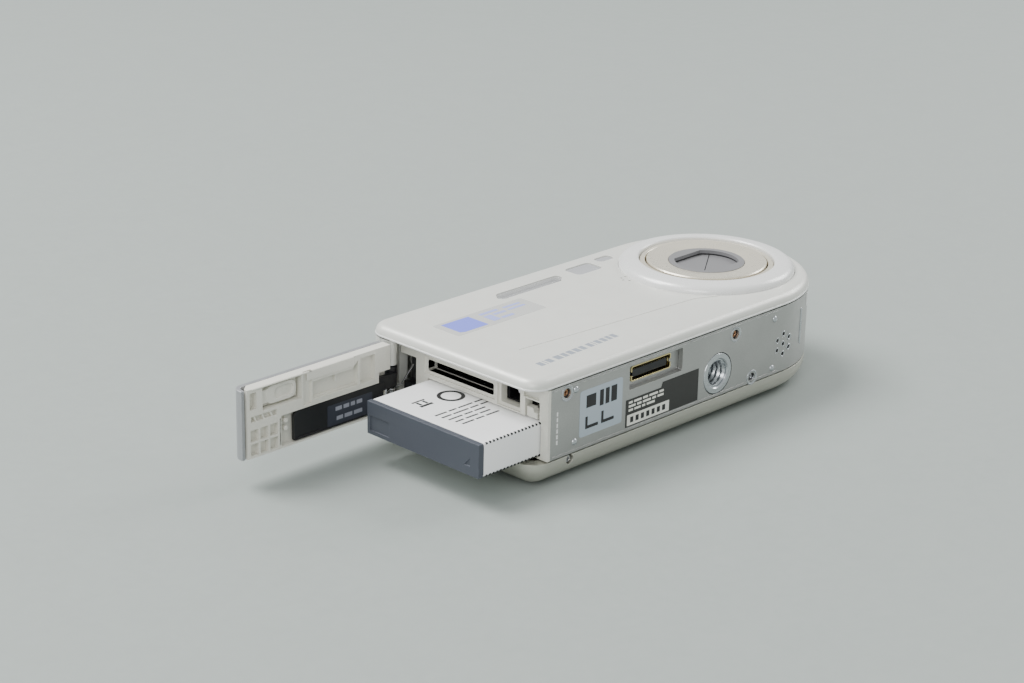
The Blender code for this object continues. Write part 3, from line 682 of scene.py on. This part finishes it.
def make_connector():
    x, y, z = CONNECTOR_X, CONNECTOR_Y, CONNECTOR_Z
    shell = side_slab(rounded(x, z, 0.5, 5), y)
    hollow = side_slab(rounded(grown(x, -0.3), grown(z, -0.3), 0.3, 5), (-27, -20.4))
    ends = ((x[0] - 1, x[0] + 0.7), (x[1] - 0.7, x[1] + 1))
    notches = joined([box(end, (-26, -24.2), grown(z, -1.4)) for end in ends])
    piece("connector_frame", shell, GOLD, stands_for=["connector_shell"], cuts=[hollow, notches], bevel=0.06)
    core = side_slab(rounded(grown(x, -0.9), (z[0] + 0.75, z[1] - 1.1), 0.2, 3), (-24.5, -20.5))
    piece("connector_tongue", core, BLACK, stands_for=["connector_core"], bevel=0.08)
    pins = []
    for index in range(17):
        start = x[0] + 1.5 + 0.62 * index
        pins.append(box((start, start + 0.25), (-24.3, -20.6), (z[1] - 1.12, z[1] - 1.02)))
    piece("connector_pins", joined(pins), GOLD, bevel=0)
    well = side_slab(rounded(RECESS_X, RECESS_Z, 0.4), (-24.45, -24.2))
    opening = side_slab(rounded(grown(x, 0.05), grown(z, 0.05), 0.5, 5), (-25, -24))
    piece("connector_well", well, PLATE, cuts=[opening], bevel=0)


def on_underside(name, x, z, finish, slot, layer=0, radius=0.3):
    low = PLATE_Y - 0.05 - 0.03 * layer
    outline = rounded(x, z, radius, 3)
    piece(name, side_slab(outline, (low, PLATE_Y + 0.02)), finish, slot=slot, bevel=0)


def bars_on_underside(name, rows, finish, layer):
    low = PLATE_Y - 0.05 - 0.03 * layer
    shapes = [box(x, (low, PLATE_Y + 0.01), z) for x, z in rows]
    piece(name, joined(shapes), finish, slot="black_plastic", bevel=0)


def make_labels():
    """The two labels on the underside, with blocks and bars in place of print."""
    on_underside("pale_label", (-40.2, -26.8), (9.0, 19.6), PALE_LABEL, "battery_white", 0, 0.6)
    blocks = [((-38.2, -35.2), (15.4, 18.2))]
    blocks += [(x, (14.8, 18.4)) for x in ((-34.0, -32.8), (-32.2, -31.0), (-30.4, -28.6))]
    for x in (-38.4, -33.4):
        blocks += [((x, x + 4.0), (10.6, 11.3)), ((x, x + 0.7), (11.3, 13.4))]
    bars_on_underside("pale_label_marks", blocks, INK, 1)
    outline = [(-25.5, 7.2), (-1.4, 7.2), (-1.4, 14.8), (-13.5, 14.8), (-14.0, 13.6), (-25.5, 13.6)]
    label = side_slab(outline, (PLATE_Y - 0.05, PLATE_Y + 0.02))
    piece("dark_label", label, DARK_LABEL, slot="black_plastic", bevel=0)
    on_underside("serial_strip", (-25.0, -11.2), (7.5, 10.0), CREAM, "battery_white", 1, 0.1)
    lines = {12.6: (1.2, 2.4, 1.6, 2.8, 1.4), 11.7: (2.2, 1.4, 2.6, 1.2, 2.0), 10.8: (1.4, 2.0, 1.0, 2.6)}
    shapes = []
    for z, widths in lines.items():
        shapes += [box(x, (PLATE_Y - 0.1, PLATE_Y), (z, z + 0.5)) for x in bar_row(-24.6, widths, 0.5)]
    piece("label_print", joined(shapes), CREAM, slot="battery_white", bevel=0)
    strokes = [((-24.0 + 1.75 * i, -23.0 + 1.75 * i), (8.1, 9.4)) for i in range(7)]
    bars_on_underside("serial_marks", strokes, INK, 2)
    mark_x, mark_y = (-47.3, -46.9), (PLATE_Y - 0.06, PLATE_Y)
    marks = [box(mark_x, mark_y, (z, z + 0.9)) for z in (9.5, 10.8, 12.1, 13.4, 14.7, 16.0)]
    piece("plate_marks", joined(marks), RING, slot="plate_metal", bevel=0)


BACK_CUTS = {
    "lcd_window": 0.15,
    "viewfinder_eyepiece": 0.12,
    "display_button": 0.2,
    "menu_button": 0.2,
    "delete_button": 0.2,
}
PAD_X, PAD_Y, PAD_Z = span("control_pad")
PAD = (middle(PAD_X), middle(PAD_Y))
PAD_RADIUS = radius_of("control_pad")
ROCKER_X, ROCKER_Y, ROCKER_Z = span("zoom_rocker")


def make_back():
    shell = slab(casing(), (BACK_LOW, BACK_HIGH))
    round_top(shell, 4.3, 16, lambda co: co.z < BACK_LOW + 0.01)
    cuts = [slab(casing(WALL + 1.6), (BACK_LOW + WALL, BACK_HIGH + 1))]
    for node, gap in BACK_CUTS.items():
        x, y, _ = span(node)
        radius = 0.3 if node == "lcd_window" else 1.4
        cuts.append(slab(rounded(grown(x, gap), grown(y, gap), radius), CUT_BACK))
    cuts.append(post(PAD, PAD_RADIUS + 0.35, CUT_BACK, 96))
    cuts.append(slab(rounded(grown(ROCKER_X, 0.35), grown(ROCKER_Y, 0.35), 2.6), CUT_BACK))
    cuts.append(across(*centre_of(EDGE_SCREW), SCREW_HOLE, (-27.0, -21.5)))
    piece("back_shell", shell, BACK, stands_for=["back_cover"], cuts=cuts, bevel=0.14)


def make_back_controls():
    x, y, z = span("lcd_window")
    glass = slab(rounded(x, y, 0.8), z)
    piece("display_cover", glass, DISPLAY, stands_for=["lcd_window"], bevel=0.25)
    pad, well = post(PAD, PAD_RADIUS, PAD_Z, 96), post(PAD, 3.2, (0, 3), 64)
    piece("pad_ring", pad, BUTTON, "pad", stands_for=["control_pad"], cuts=[well], bevel=0.45, segments=5)
    arrows = []
    for quarter in range(4):
        turn = Matrix.Rotation(math.radians(90 * quarter), 2)
        tips = [turn @ Vector(point) for point in ((6.6, 0.0), (5.4, 0.9), (5.4, -0.9))]
        points = [(PAD[0] + tip.x, PAD[1] + tip.y) for tip in tips]
        arrows.append(slab(points, (PAD_Z[0] - 0.04, PAD_Z[0] + 0.02)))
    ink("pad_arrows", arrows, "pad")
    button = post(PAD, radius_of("set_button"), span("set_button")[2], 64)
    piece("set_key", button, BUTTON, "set", stands_for=["set_button"], bevel=0.4, segments=5)
    marks = {
        "display": [((-1.0, 1.0), (-0.7, 0.7))],
        "menu": [((-1.1, 1.1), (low, low + 0.2)) for low in (-0.6, -0.1, 0.4)],
        "delete": [((-0.7, 0.7), (-0.1, 0.1))],
    }
    for body, bars in marks.items():
        x, y, z = span(f"{body}_button")
        key = slab(rounded(x, y, 1.4), z)
        piece(f"{body}_key", key, BUTTON, body, stands_for=[f"{body}_button"], bevel=0.2, segments=4)
        centre_x, centre_y = middle(x), middle(y)
        shapes = []
        for (x0, x1), (y0, y1) in bars:
            bar_x, bar_y = (centre_x + x0, centre_x + x1), (centre_y + y0, centre_y + y1)
            shapes.append(box(bar_x, bar_y, (z[0] - 0.03, z[0] + 0.02)))
        ink(f"{body}_mark", shapes, body)
    rocker = slab(rounded(ROCKER_X, ROCKER_Y, 2.4), ROCKER_Z)
    dip = across(ROCKER_X[0] + 8, BACK_LOW - 7.6, 8.0, (-30, 30), 96)
    piece("rocker_key", rocker, BUTTON, "rocker", stands_for=["zoom_rocker"], cuts=[dip], bevel=0.3, segments=4)
    x, y, z = span("viewfinder_eyepiece")
    eyepiece = slab(rounded(x, y, 1.2), z)
    piece("eyepiece_glass", eyepiece, CLEAR, stands_for=["viewfinder_eyepiece"], bevel=0.2)


SHUTTER_X, SHUTTER_Y, SHUTTER_Z = span("shutter_button")
POWER_X, POWER_Y, POWER_Z = span("power_button")
DIAL_Y = span("mode_dial")[1]
DIAL = centre_of("mode_dial")
DIAL_RADIUS = radius_of("mode_dial")


def make_top():
    """The top cover and round end, with the two lugs of the door's hinge."""
    inner = HALF - BAND_WALL
    corner = (LEFT + CORNER, HALF - CORNER)
    outline = arc((END_CENTRE_X, 0), HALF, SEAM + SEAM_GAP, 90, 84) + arc(corner, CORNER, 90, 176, 14)
    outline += [(LEFT, 21.6), (-50.0, 21.6), (-50.0, 19.6), (-47.6, 19.6), (-47.6, inner)]
    outline += arc((END_CENTRE_X, 0), inner, 90, SEAM + SEAM_GAP, 84)
    lug = arc(PIN, KNUCKLE, 180, 360, 20) + [(PIN[0] + KNUCKLE, 22.2), (PIN[0] - 1.4, 22.2)]
    lugs = [slab(lug, z) for z in ((6.6, 8.2), (16.4, 22.25))]
    cuts = [
        post(PIN, PIN_BORE, (5, 21), 40),
        side_slab(rounded(grown(SHUTTER_X, 0.2), grown(SHUTTER_Z, 0.2), 3.1, 12), CUT_TOP),
        side_slab(rounded(grown(POWER_X, 0.2), grown(POWER_Z, 0.2), 1.6), CUT_TOP),
        across(*DIAL, DIAL_RADIUS + 0.2, CUT_TOP, 96),
    ]
    shell = slab(outline, (BAND_LOW, BAND_HIGH))
    piece("top_shell", shell, TOP, stands_for=["top_cover"], cuts=cuts, adds=lugs, bevel=0.14)


def make_top_controls():
    button = side_slab(rounded(SHUTTER_X, SHUTTER_Z, 2.9, 12), SHUTTER_Y)
    piece("shutter_key", button, RING, "shutter", "silver_button", ["shutter_button"], bevel=0.4, segments=5)
    key = side_slab(rounded(POWER_X, POWER_Z, 1.4), POWER_Y)
    piece("power_key", key, BUTTON, "power", stands_for=["power_button"], bevel=0.25, segments=4)
    mark = across(middle(POWER_X), DIAL[1], 0.5, (POWER_Y[1] - 0.05, POWER_Y[1] + 0.03), 24)
    ink("power_mark", [mark], "power")
    top, teeth, stops = DIAL_Y[1], 48, 7
    drum = across(*DIAL, DIAL_RADIUS, DIAL_Y, 144)
    round_the_edge = arc(DIAL, DIAL_RADIUS + 0.12, 0, 360 - 360 / teeth, teeth - 1)
    grooves = joined([across(x, z, 0.2, (20, 28), 8) for x, z in round_the_edge])
    dish = across(*DIAL, DIAL_RADIUS - 1.0, (top - 0.25, 30), 96)
    piece("dial_drum", drum, BUTTON, "dial", stands_for=["mode_dial"], cuts=[grooves, dish], bevel=0.12)
    places = arc(DIAL, 4.6, -20, -20 + 37 * (stops - 1), stops - 1)
    ticks = [across(x, z, 0.45, (top - 0.3, top - 0.22), 20) for x, z in places]
    ink("dial_ticks", ticks, "dial")


# ---------- lens

MOUTH_RADIUS, MOUTH_FLAT = 7.6, 6.0
BLADE_TILT = 35


def make_lens():
    make_surround()
    make_barrels()
    make_mouth()
    make_blade(1, "upper_blade", 1)
    make_blade(2, "lower_blade", -1)
    radius, apex, sag, steps = 8.6, 24.2, 0.0297, 12
    radii = [radius * i / steps for i in range(1, steps + 1)]
    dome = [(0.0, apex)] + [(r, apex - r * r * sag) for r in radii] + [(radius, 19.4), (0.0, 19.4)]
    glass = lathe(dome, LENS, 96, False)
    piece("front_element", glass, LENS_GLASS, "inner_barrel", stands_for=["front_lens"], bevel=0)


def make_surround():
    """The bright ring round the barrels, whose crown falls away outwards."""
    outer, inner, lip, steps = RING_RADIUS, 16.05, 0.6, 14
    crown = [(inner, RING_TOP - 0.35), (inner + 0.25, RING_TOP - 0.05), (inner + lip, RING_TOP)]
    for i in range(1, steps + 1):
        t = i / steps
        crown.append((inner + lip + (outer - inner - lip) * t, RING_TOP - 0.5 * t ** 1.5 - 1.1 * t ** 7))
    profile = crown + [(outer, RING_LOW), (inner, RING_LOW)]
    piece("lens_surround", lathe(profile, LENS, 192), RING, stands_for=["lens_ring"], bevel=0.05)


def make_barrels():
    r, (low, high) = radius_of("barrel_1"), span("barrel_1")[2]
    profile = [(r, high - 0.25), (r, low), (r - 1.2, low)]
    profile += [(r - 1.2, high - 0.1), (r - 1.1, high), (r - 0.25, high)]
    tube_1 = lathe(profile, LENS, 160)
    piece("outer_tube", tube_1, BARREL, "outer_barrel", stands_for=["barrel_1"], bevel=0)
    r, (low, high) = radius_of("barrel_2"), span("barrel_2")[2]
    hole, bore, step = 9.1, 13.1, 1.1
    profile = [(r - 0.25, high), (r, high - 0.25), (r, low), (bore, low), (bore, high - step)]
    profile += [(hole, high - step), (hole, high - 0.45), (hole + 0.3, high - 0.3)]
    profile += [(r - 1.5, high - 0.12), (r - 1.3, high - 0.12), (r - 1.0, high)]
    tube_2 = lathe(profile, LENS, 160)
    piece("inner_tube", tube_2, BARREL, "inner_barrel", stands_for=["barrel_2"], bevel=0, sharp=24)


def make_mouth():
    """The grey disc and, under it, a black ring as painted shade on the opening's wall, both with an opening
    that has two flat sides.
    """
    low, high = span("lens_front_disc")[2]
    corner = math.degrees(math.asin(MOUTH_FLAT / MOUTH_RADIUS))
    mouth = arc(LENS, MOUTH_RADIUS, -corner, corner, 32)
    mouth += arc(LENS, MOUTH_RADIUS, 180 - corner, 180 + corner, 32)
    disc = slab(arc(LENS, radius_of("lens_front_disc"), 0, 357.5, 143), (low, high))
    cuts, covered = [slab(mouth, CUT_FRONT)], ["lens_front_disc"]
    piece("mouth_disc", disc, LENS_GREY, "inner_barrel", stands_for=covered, cuts=cuts, bevel=0.08)
    # Black ring under the disc: painted shade, its edge darkening the opening's wall as if in shadow.
    wall = slab(arc(LENS, MOUTH_RADIUS + 0.35, 0, 355, 71), (low - 0.22, low + 0.02))
    piece("mouth_shade_lining", wall, BLACK, "inner_barrel", cuts=[slab(mouth, CUT_FRONT)], bevel=0)


def make_blade(index, body, side):
    """A barrier blade on one side of the seam, with a tail that reaches its pivot."""
    _, _, z = span(f"barrier_blade_{index}")
    tilt = Matrix.Rotation(math.radians(BLADE_TILT), 2)
    reach, rise, radius, edge = 10.4, 1.4, 8.1, 0.1
    points = arc((0, 0), radius, 179.2, 22, 40)
    points += [(reach - 0.4, rise + 1.0), (reach + 0.6, rise + 0.6), (reach + 0.9, rise - 0.4)]
    points += [(reach, edge), (-radius, edge)]
    placed = [tilt @ Vector((x, side * y)) for x, y in points]
    leaf = slab([(LENS[0] + point.x, point.y) for point in placed], z)
    piece(f"shutter_leaf_{index}", leaf, LENS_GREY, body, stands_for=[f"barrier_blade_{index}"], bevel=0.05)


# ---------- the open end

SLOT_Y, SLOT_Z = (-9.3, 10.9), (16.6, 19.2)
JACK_Y, JACK_Z = (-17.0, -11.4), (15.9, 20.1)


def make_end():
    lip = (END_X, END_X + 0.85)
    base = box((END_X, -47.6), (-24.2, 19.3), (BAND_LOW, BAND_HIGH))
    near_wall = box(lip, (PLATE_Y, -23.9), (BAND_LOW, BAND_HIGH))
    through = (-52, -45)
    cuts = [
        end_slab(rounded(grown(BATTERY_Y, 0.3), grown(BATTERY_Z, 0.3), 0.5, 4), through),
        end_slab(rounded(SLOT_Y, SLOT_Z, 0.4, 4), through),
        end_slab(rounded(JACK_Y, JACK_Z, 0.3, 4), through),
        box(through, (-23.2, -18.9), (14.5, 19.0)),
        box(through, (14.4, 25), (6.9, 18.6)),
        end_slab(rounded(grown(SLOT_Y, 0.9), grown(SLOT_Z, 0.75), 0.6, 4), (-52, END_X + 0.35)),
        box((-52, END_X + 0.5), grown(JACK_Y, 0.7), grown(JACK_Z, 0.7)),
        box((-52, END_X + 0.6), (-23.0, -18.5), (19.3, 21.6)),
    ]
    piece("end_moulding", base, IVORY, stands_for=["end_frame"], cuts=cuts, adds=[near_wall], bevel=0.12)
    guide = end_slab(rounded(grown(SLOT_Y, 0.4), grown(SLOT_Z, 0.4), 0.5, 4), (END_X + 0.3, END_X + 3.2))
    slot = end_slab(rounded(SLOT_Y, SLOT_Z, 0.4, 4), through)
    piece("card_guide", guide, IVORY, cuts=[slot], bevel=0.08)
    lever = box((-49.7, -48.0), (-22.4, -19.3), (14.95, 17.2))
    ramp = end_slab([(-23, 16.3), (-21.4, 16.3), (-20.9, 17.4), (-23, 17.4)], (-50, -47))
    piece("lock_lever_key", lever, IVORY, "lock_lever", stands_for=["battery_lock"], cuts=[ramp], bevel=0.15)
    block = box((-49.85, -47.8), (13.6, 19.1), (18.9, 22.2))
    piece("end_block", block, IVORY, bevel=0.2)
    pin = tube((-47.0, -14.6, 18.4), (-40.2, -14.6, 18.4), 0.55, 24)
    piece("jack_pin", pin, STEEL, bevel=0.12)
    leaf = box((-48.5, -42.0), (-16.9, -16.7), (17.0, 19.6))
    piece("jack_leaf", leaf, GOLD, bevel=0.03)


def make_battery():
    x, y, z = BATTERY_X, BATTERY_Y, BATTERY_Z
    body = end_slab(rounded(y, z, 0.5, 5), x)
    piece("battery_sleeve", body, WHITE, "battery", stands_for=["battery_pack"], bevel=0.1)
    cap = box(CAP_X, y, z)
    deboss = box((CAP_X[0] - 1, CAP_X[0] + 0.25), (3.7, 9.6), (8.0, 11.4))
    arrow = end_slab([(-20.8, 9.2), (-19.2, 9.2), (-20.8, 11.0)], (CAP_X[0] - 1, CAP_X[0] + 0.2))
    cuts, covered = [deboss, arrow], ["battery_cap"]
    piece("battery_end_cap", cap, SLATE, "battery", stands_for=covered, cuts=cuts, bevel=0.4, segments=5)
    collar = end_slab(rounded(grown(y, -0.15), grown(z, -0.15), 0.5, 5), (CAP_X[1] - 0.1, x[0] + 0.1))
    piece("battery_collar", collar, SLATE, "battery", bevel=0)
    dots = []
    for index in range(16):
        start = x[0] + 0.5 + 1.05 * index
        dot_x = (start, start + 0.42)
        dots.append(box(dot_x, (y[0] - 0.03, y[0] + 0.42), (z[1] - 0.35, z[1] + 0.03)))
        dots.append(box(dot_x, (y[0] - 0.03, y[0] + 0.3), (z[0] - 0.03, z[0] + 0.4)))
    ink("battery_dots", dots, "battery")
    printed = (z[1] - 0.05, z[1] + 0.03)
    ring_centre = (-53.0, 0.2)
    ring = slab(arc(ring_centre, 3.1, 0, 354, 59), printed)
    hole = slab(arc(ring_centre, 2.2, 0, 354, 59), grown((z[1], z[1]), 1))
    piece("battery_ring_mark", ring, INK, "battery", "black_plastic", cuts=[hole], bevel=0)
    sign = [box((-62.2, -58.6), bar_y, printed) for bar_y in ((-0.4, 0.4), (2.4, 2.9))]
    sign += [box(bar_x, (0.6, 2.2), printed) for bar_x in ((-61.6, -61.0), (-59.8, -59.2))]
    ink("battery_sign_mark", sign, "battery")
    lines = ((3.4, 2.2, 4.2, 2.6), (2.8, 4.4, 2.4, 2.2), (4.0, 2.4, 3.2), (2.4, 3.6, 3.0), (3.4, 2.4, 3.8))
    bars = []
    for index, widths in enumerate(lines):
        row_y = -6.0 - 1.75 * index
        for bar_x in bar_row(-63.4 + 0.3 * index, widths, 0.6):
            bars.append(box(bar_x, (row_y, row_y + 0.5), printed))
    ink("battery_bars", bars, "battery")


# ---------- the door
# Its own frame has u along the door from the pin, and w in depth towards its inner face.

def hung(bm):
    """Takes a shape from the door's frame to the open door's place."""
    bmesh.ops.rotate(bm, verts=bm.verts, matrix=Matrix.Rotation(math.pi, 3, "Z"))
    bmesh.ops.translate(bm, verts=bm.verts, vec=(*PIN, 0))
    return bm


def door_piece(name, bm, finish, body="door_cover", cuts=(), adds=(), **more):
    cuts, adds = [hung(cut) for cut in cuts], [hung(add) for add in adds]
    piece(name, hung(bm), finish, body, cuts=cuts, adds=adds, **more)


SKIN_X, _, DOOR_Z = span("door_skin")
DOOR_U = (PIN[0] - SKIN_X[1], PIN[0] - SKIN_X[0])
DOOR_W = (-1.3, 2.4)
FLAP_U, FLAP_Z = (27.8, 38.3), (16.6, 21.6)


def face_slab(points, w):
    """A (u, z) outline on the door, from depth w[0] to w[1]."""
    return side_slab(points, w)


def flap_hole():
    return box(grown(FLAP_U, 0.15), (-5, 5), grown(FLAP_Z, 0.15))


def make_door():
    u, w, z = DOOR_U, DOOR_W, DOOR_Z
    bend, thick = 2.6, 1.0
    corner = (u[1] - bend, w[0] + bend)
    outer = arc(corner, bend, 270, 360, 20)
    inner = arc(corner, bend - thick, 360, 270, 20)
    free_end = [(u[1], w[1] - 0.3), (u[1] - 0.9, w[1] - 0.3)]
    outline = [(u[0], w[0]), *outer, *free_end, *inner, (u[0], w[0] + thick)]
    shell, cuts, covered = slab(outline, z), [flap_hole()], ["door_skin"]
    door_piece("door_shell", shell, DOOR_SKIN, slot="front_metal", cuts=cuts, stands_for=covered, bevel=0.15)
    base = slab([(u[0], 0), (u[1] - 3.0, 0), (u[1] - 1.3, 1.5), (u[1] - 1.3, w[1]), (u[0], w[1])], z)
    floor = 0.9
    cuts = [
        flap_hole(),
        box((0, 33.4), (floor, 5), (6.9, 14.0)),
        box((0, 5.6), (0.6, 5), (11.0, 16.4)),
        face_slab([(11.6, 15.2), (24.6, 15.2), (24.6, 19.4), (13.4, 19.4), (11.6, 20.9)], (1.1, 5)),
        face_slab([(6.7, 15.2), (11.0, 15.2), (11.0, 21.1), (6.7, 21.1)], (1.1, 5)),
        face_slab(rounded((40.0, 41.9), (17.4, 21.2), 0.3, 3), (1.0, 5)),
        face_slab([(24.9, 14.6), (27.2, 14.6), (27.2, 22.5), (24.9, 22.5)], (1.9, 5)),
        face_slab([(34.6, 14.6), (41.6, 14.6), (41.6, 15.9), (34.6, 15.9)], (1.5, 5)),
    ]
    for column in range(3):
        for row in range(2):
            u0, z0 = 34.3 + 2.65 * column, 7.0 + 3.15 * row
            cuts.append(box((u0, u0 + 2.2), (floor + 0.25, 5), (z0, z0 + 2.7)))
    door_piece("door_moulding", base, IVORY, cuts=cuts, stands_for=["door_slider"], bevel=0.1)
    ledge = [(12.8, w[1] - 0.1), (26.2, w[1] - 0.1), (26.2, w[1] + 0.05)]
    ledge += [(25.6, w[1] + 0.2), (13.2, w[1] + 0.2)]
    rails = [
        box((17.4, 17.8), (1.1, 1.9), (17.5, 19.4)),
        box((11.6, 24.6), (1.0, 1.7), (15.2, 15.6)),
        slab(ledge, (20.0, 22.05)),
        box((24.9, 41.4), (w[1] - 0.1, w[1] + 0.2), (21.75, 22.05)),
        box((33.5, 33.9), (0.9, 2.4), (7.4, 13.6)),
    ]
    for start in (35.2, 37.4, 39.6):
        rib = [(start, 13.9), (start + 0.4, 13.9), (start + 1.3, 15.8), (start + 0.9, 15.8)]
        rails.append(face_slab(rib, (1.4, 2.3)))
    for index, rail in enumerate(rails):
        door_piece(f"door_rail_{index + 1}", rail, IVORY, bevel=0.06, segments=2)
    for index, peg_z in enumerate((12.4, 10.6)):
        peg = tube((31.8, 0.8, peg_z), (31.8, 2.1, peg_z), 0.55, 28)
        door_piece(f"door_peg_{index + 1}", peg, IVORY, bevel=0.15)
    make_flap()
    make_arm()


def make_flap():
    """The soft cover of the power jack: a plate, a plug with a cup in it, and a strap."""
    flap = box(FLAP_U, (DOOR_W[0], 0.7), FLAP_Z)
    plug = face_slab(rounded((28.7, 36.9), (17.1, 21.2), 1.7, 10), (0.6, 1.8))
    cup = face_slab(rounded((29.5, 34.6), (17.9, 20.4), 1.1, 10), (1.3, 3))
    strap = box((36.2, 38.1), (0.4, 1.7), (17.6, 20.6))
    covered = ["jack_cover"]
    door_piece("jack_flap_cover", flap, IVORY, "jack_flap", [cup], [plug], stands_for=covered, bevel=0.15)
    door_piece("jack_flap_strap", strap, IVORY, "jack_flap", bevel=0.15)


def make_arm():
    """The black hinge arm, with its knuckle on the pin and a plain label."""
    low, high = 7.2, 13.7
    arm = face_slab([(4.0, low), (29.7, low), (29.7, 12.8), (28.9, high), (4.0, high)], (1.3, 2.2))
    web = box((0, 5.0), (1.0, 2.1), (11.75, 14.9))
    knuckle = post((0, 0), KNUCKLE, (11.3, 16.1), 64)
    bore = post((0, 0), PIN_BORE, (5, 20), 40)
    covered = {"stands_for": ["hinge_arm"], "bevel": 0.2, "segments": 4}
    door_piece("arm_plate", arm, BLACK, "door_arm", [bore], [web, knuckle], **covered)
    label = face_slab(rounded((7.4, 20.4), (7.6, 12.4), 0.3, 4), (2.2, 2.24))
    door_piece("arm_label", label, LABEL_SLATE, "door_arm", slot="battery_slate", bevel=0)
    bars = []
    for bar_z, widths in {10.8: (1.6, 1.2, 1.6, 1.8), 8.6: (2.4, 2.2, 1.8)}.items():
        bars += [box(bar_u, (2.24, 2.27), (bar_z, bar_z + 0.9)) for bar_u in bar_row(10.4, widths, 0.5)]
    door_piece("arm_bars", joined(bars), ARM_PRINT, "door_arm", slot="battery_slate", bevel=0)
    lip = box((22.4, 29.0), (2.15, 2.45), (low + 0.2, low + 0.6))
    door_piece("arm_lip", lip, BLACK, "door_arm", bevel=0.1)


# ---------- the rest of the scene

def finish_cad_nodes():
    """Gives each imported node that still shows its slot's procedural finish."""
    for row in frame["record"]["subparts"]:
        node = frame["nodes"][row["node"]]
        node.data.materials.clear()
        node.data.materials.append(SLOT_FINISH[row["material_slot"]])


def make_stage():
    floor_finish = surface("pale_floor", srgb(160, 167, 163), 0.55, 0.0, 400, 0.05, 0.02)
    bpy.ops.mesh.primitive_plane_add(size=6, location=(0, 0, 0))
    floor = bpy.context.object
    floor.name = "floor"
    floor.data.materials.append(floor_finish)


def area_light(name, place, size, power, aim=(0, 0, 0.012)):
    data = bpy.data.lights.new(name, "AREA")
    data.size = size
    data.energy = power
    lamp = bpy.data.objects.new(name, data)
    lamp.location = place
    lamp.rotation_euler = (Vector(aim) - Vector(place)).to_track_quat("-Z", "Y").to_euler()
    bpy.context.scene.collection.objects.link(lamp)


def make_light():
    world = bpy.data.worlds.new("studio")
    bpy.context.scene.world = world
    world.use_nodes = True
    background = world.node_tree.nodes["Background"]
    background.inputs["Color"].default_value = (0.86, 0.90, 0.90, 1)
    background.inputs["Strength"].default_value = 0.74
    area_light("key", (-0.35, 0.55, 0.95), 0.6, 17.0)
    area_light("fill", (-0.9, -0.5, 0.6), 0.5, 4.4)
    area_light("rim", (0.8, -0.1, 0.5), 0.4, 4.6)


CAMERA_AT = (-388.5, -343.2, 206.7)
YAW, PITCH, ROLL = 45.871, 20.491, 1.163
FOCAL = 84.53


def make_camera():
    data = bpy.data.cameras.new("view")
    data.sensor_width = 36
    data.lens = FOCAL
    data.clip_start = 0.01
    camera = bpy.data.objects.new("view", data)
    yaw, pitch, roll = (math.radians(angle) for angle in (YAW, PITCH, ROLL))
    forward = Vector((math.sin(yaw) * math.cos(pitch), math.cos(yaw) * math.cos(pitch), -math.sin(pitch)))
    level = Vector((math.cos(yaw), -math.sin(yaw), 0))
    up = level.cross(forward)
    right = math.cos(roll) * level + math.sin(roll) * up
    up = right.cross(forward)
    turn = Matrix((right, up, -forward)).transposed()
    camera.matrix_world = Matrix.Translation(Vector(CAMERA_AT) * MM) @ turn.to_4x4()
    bpy.context.scene.collection.objects.link(camera)
    bpy.context.scene.camera = camera


make_camera()
make_stage()
make_light()
finish_cad_nodes()
make_front()
make_front_marks()
make_crease()
make_underside()
make_screws()
make_tripod_socket()
make_connector()
make_labels()
make_back()
make_back_controls()
make_top()
make_top_controls()
make_lens()
make_end()
make_battery()
make_door()
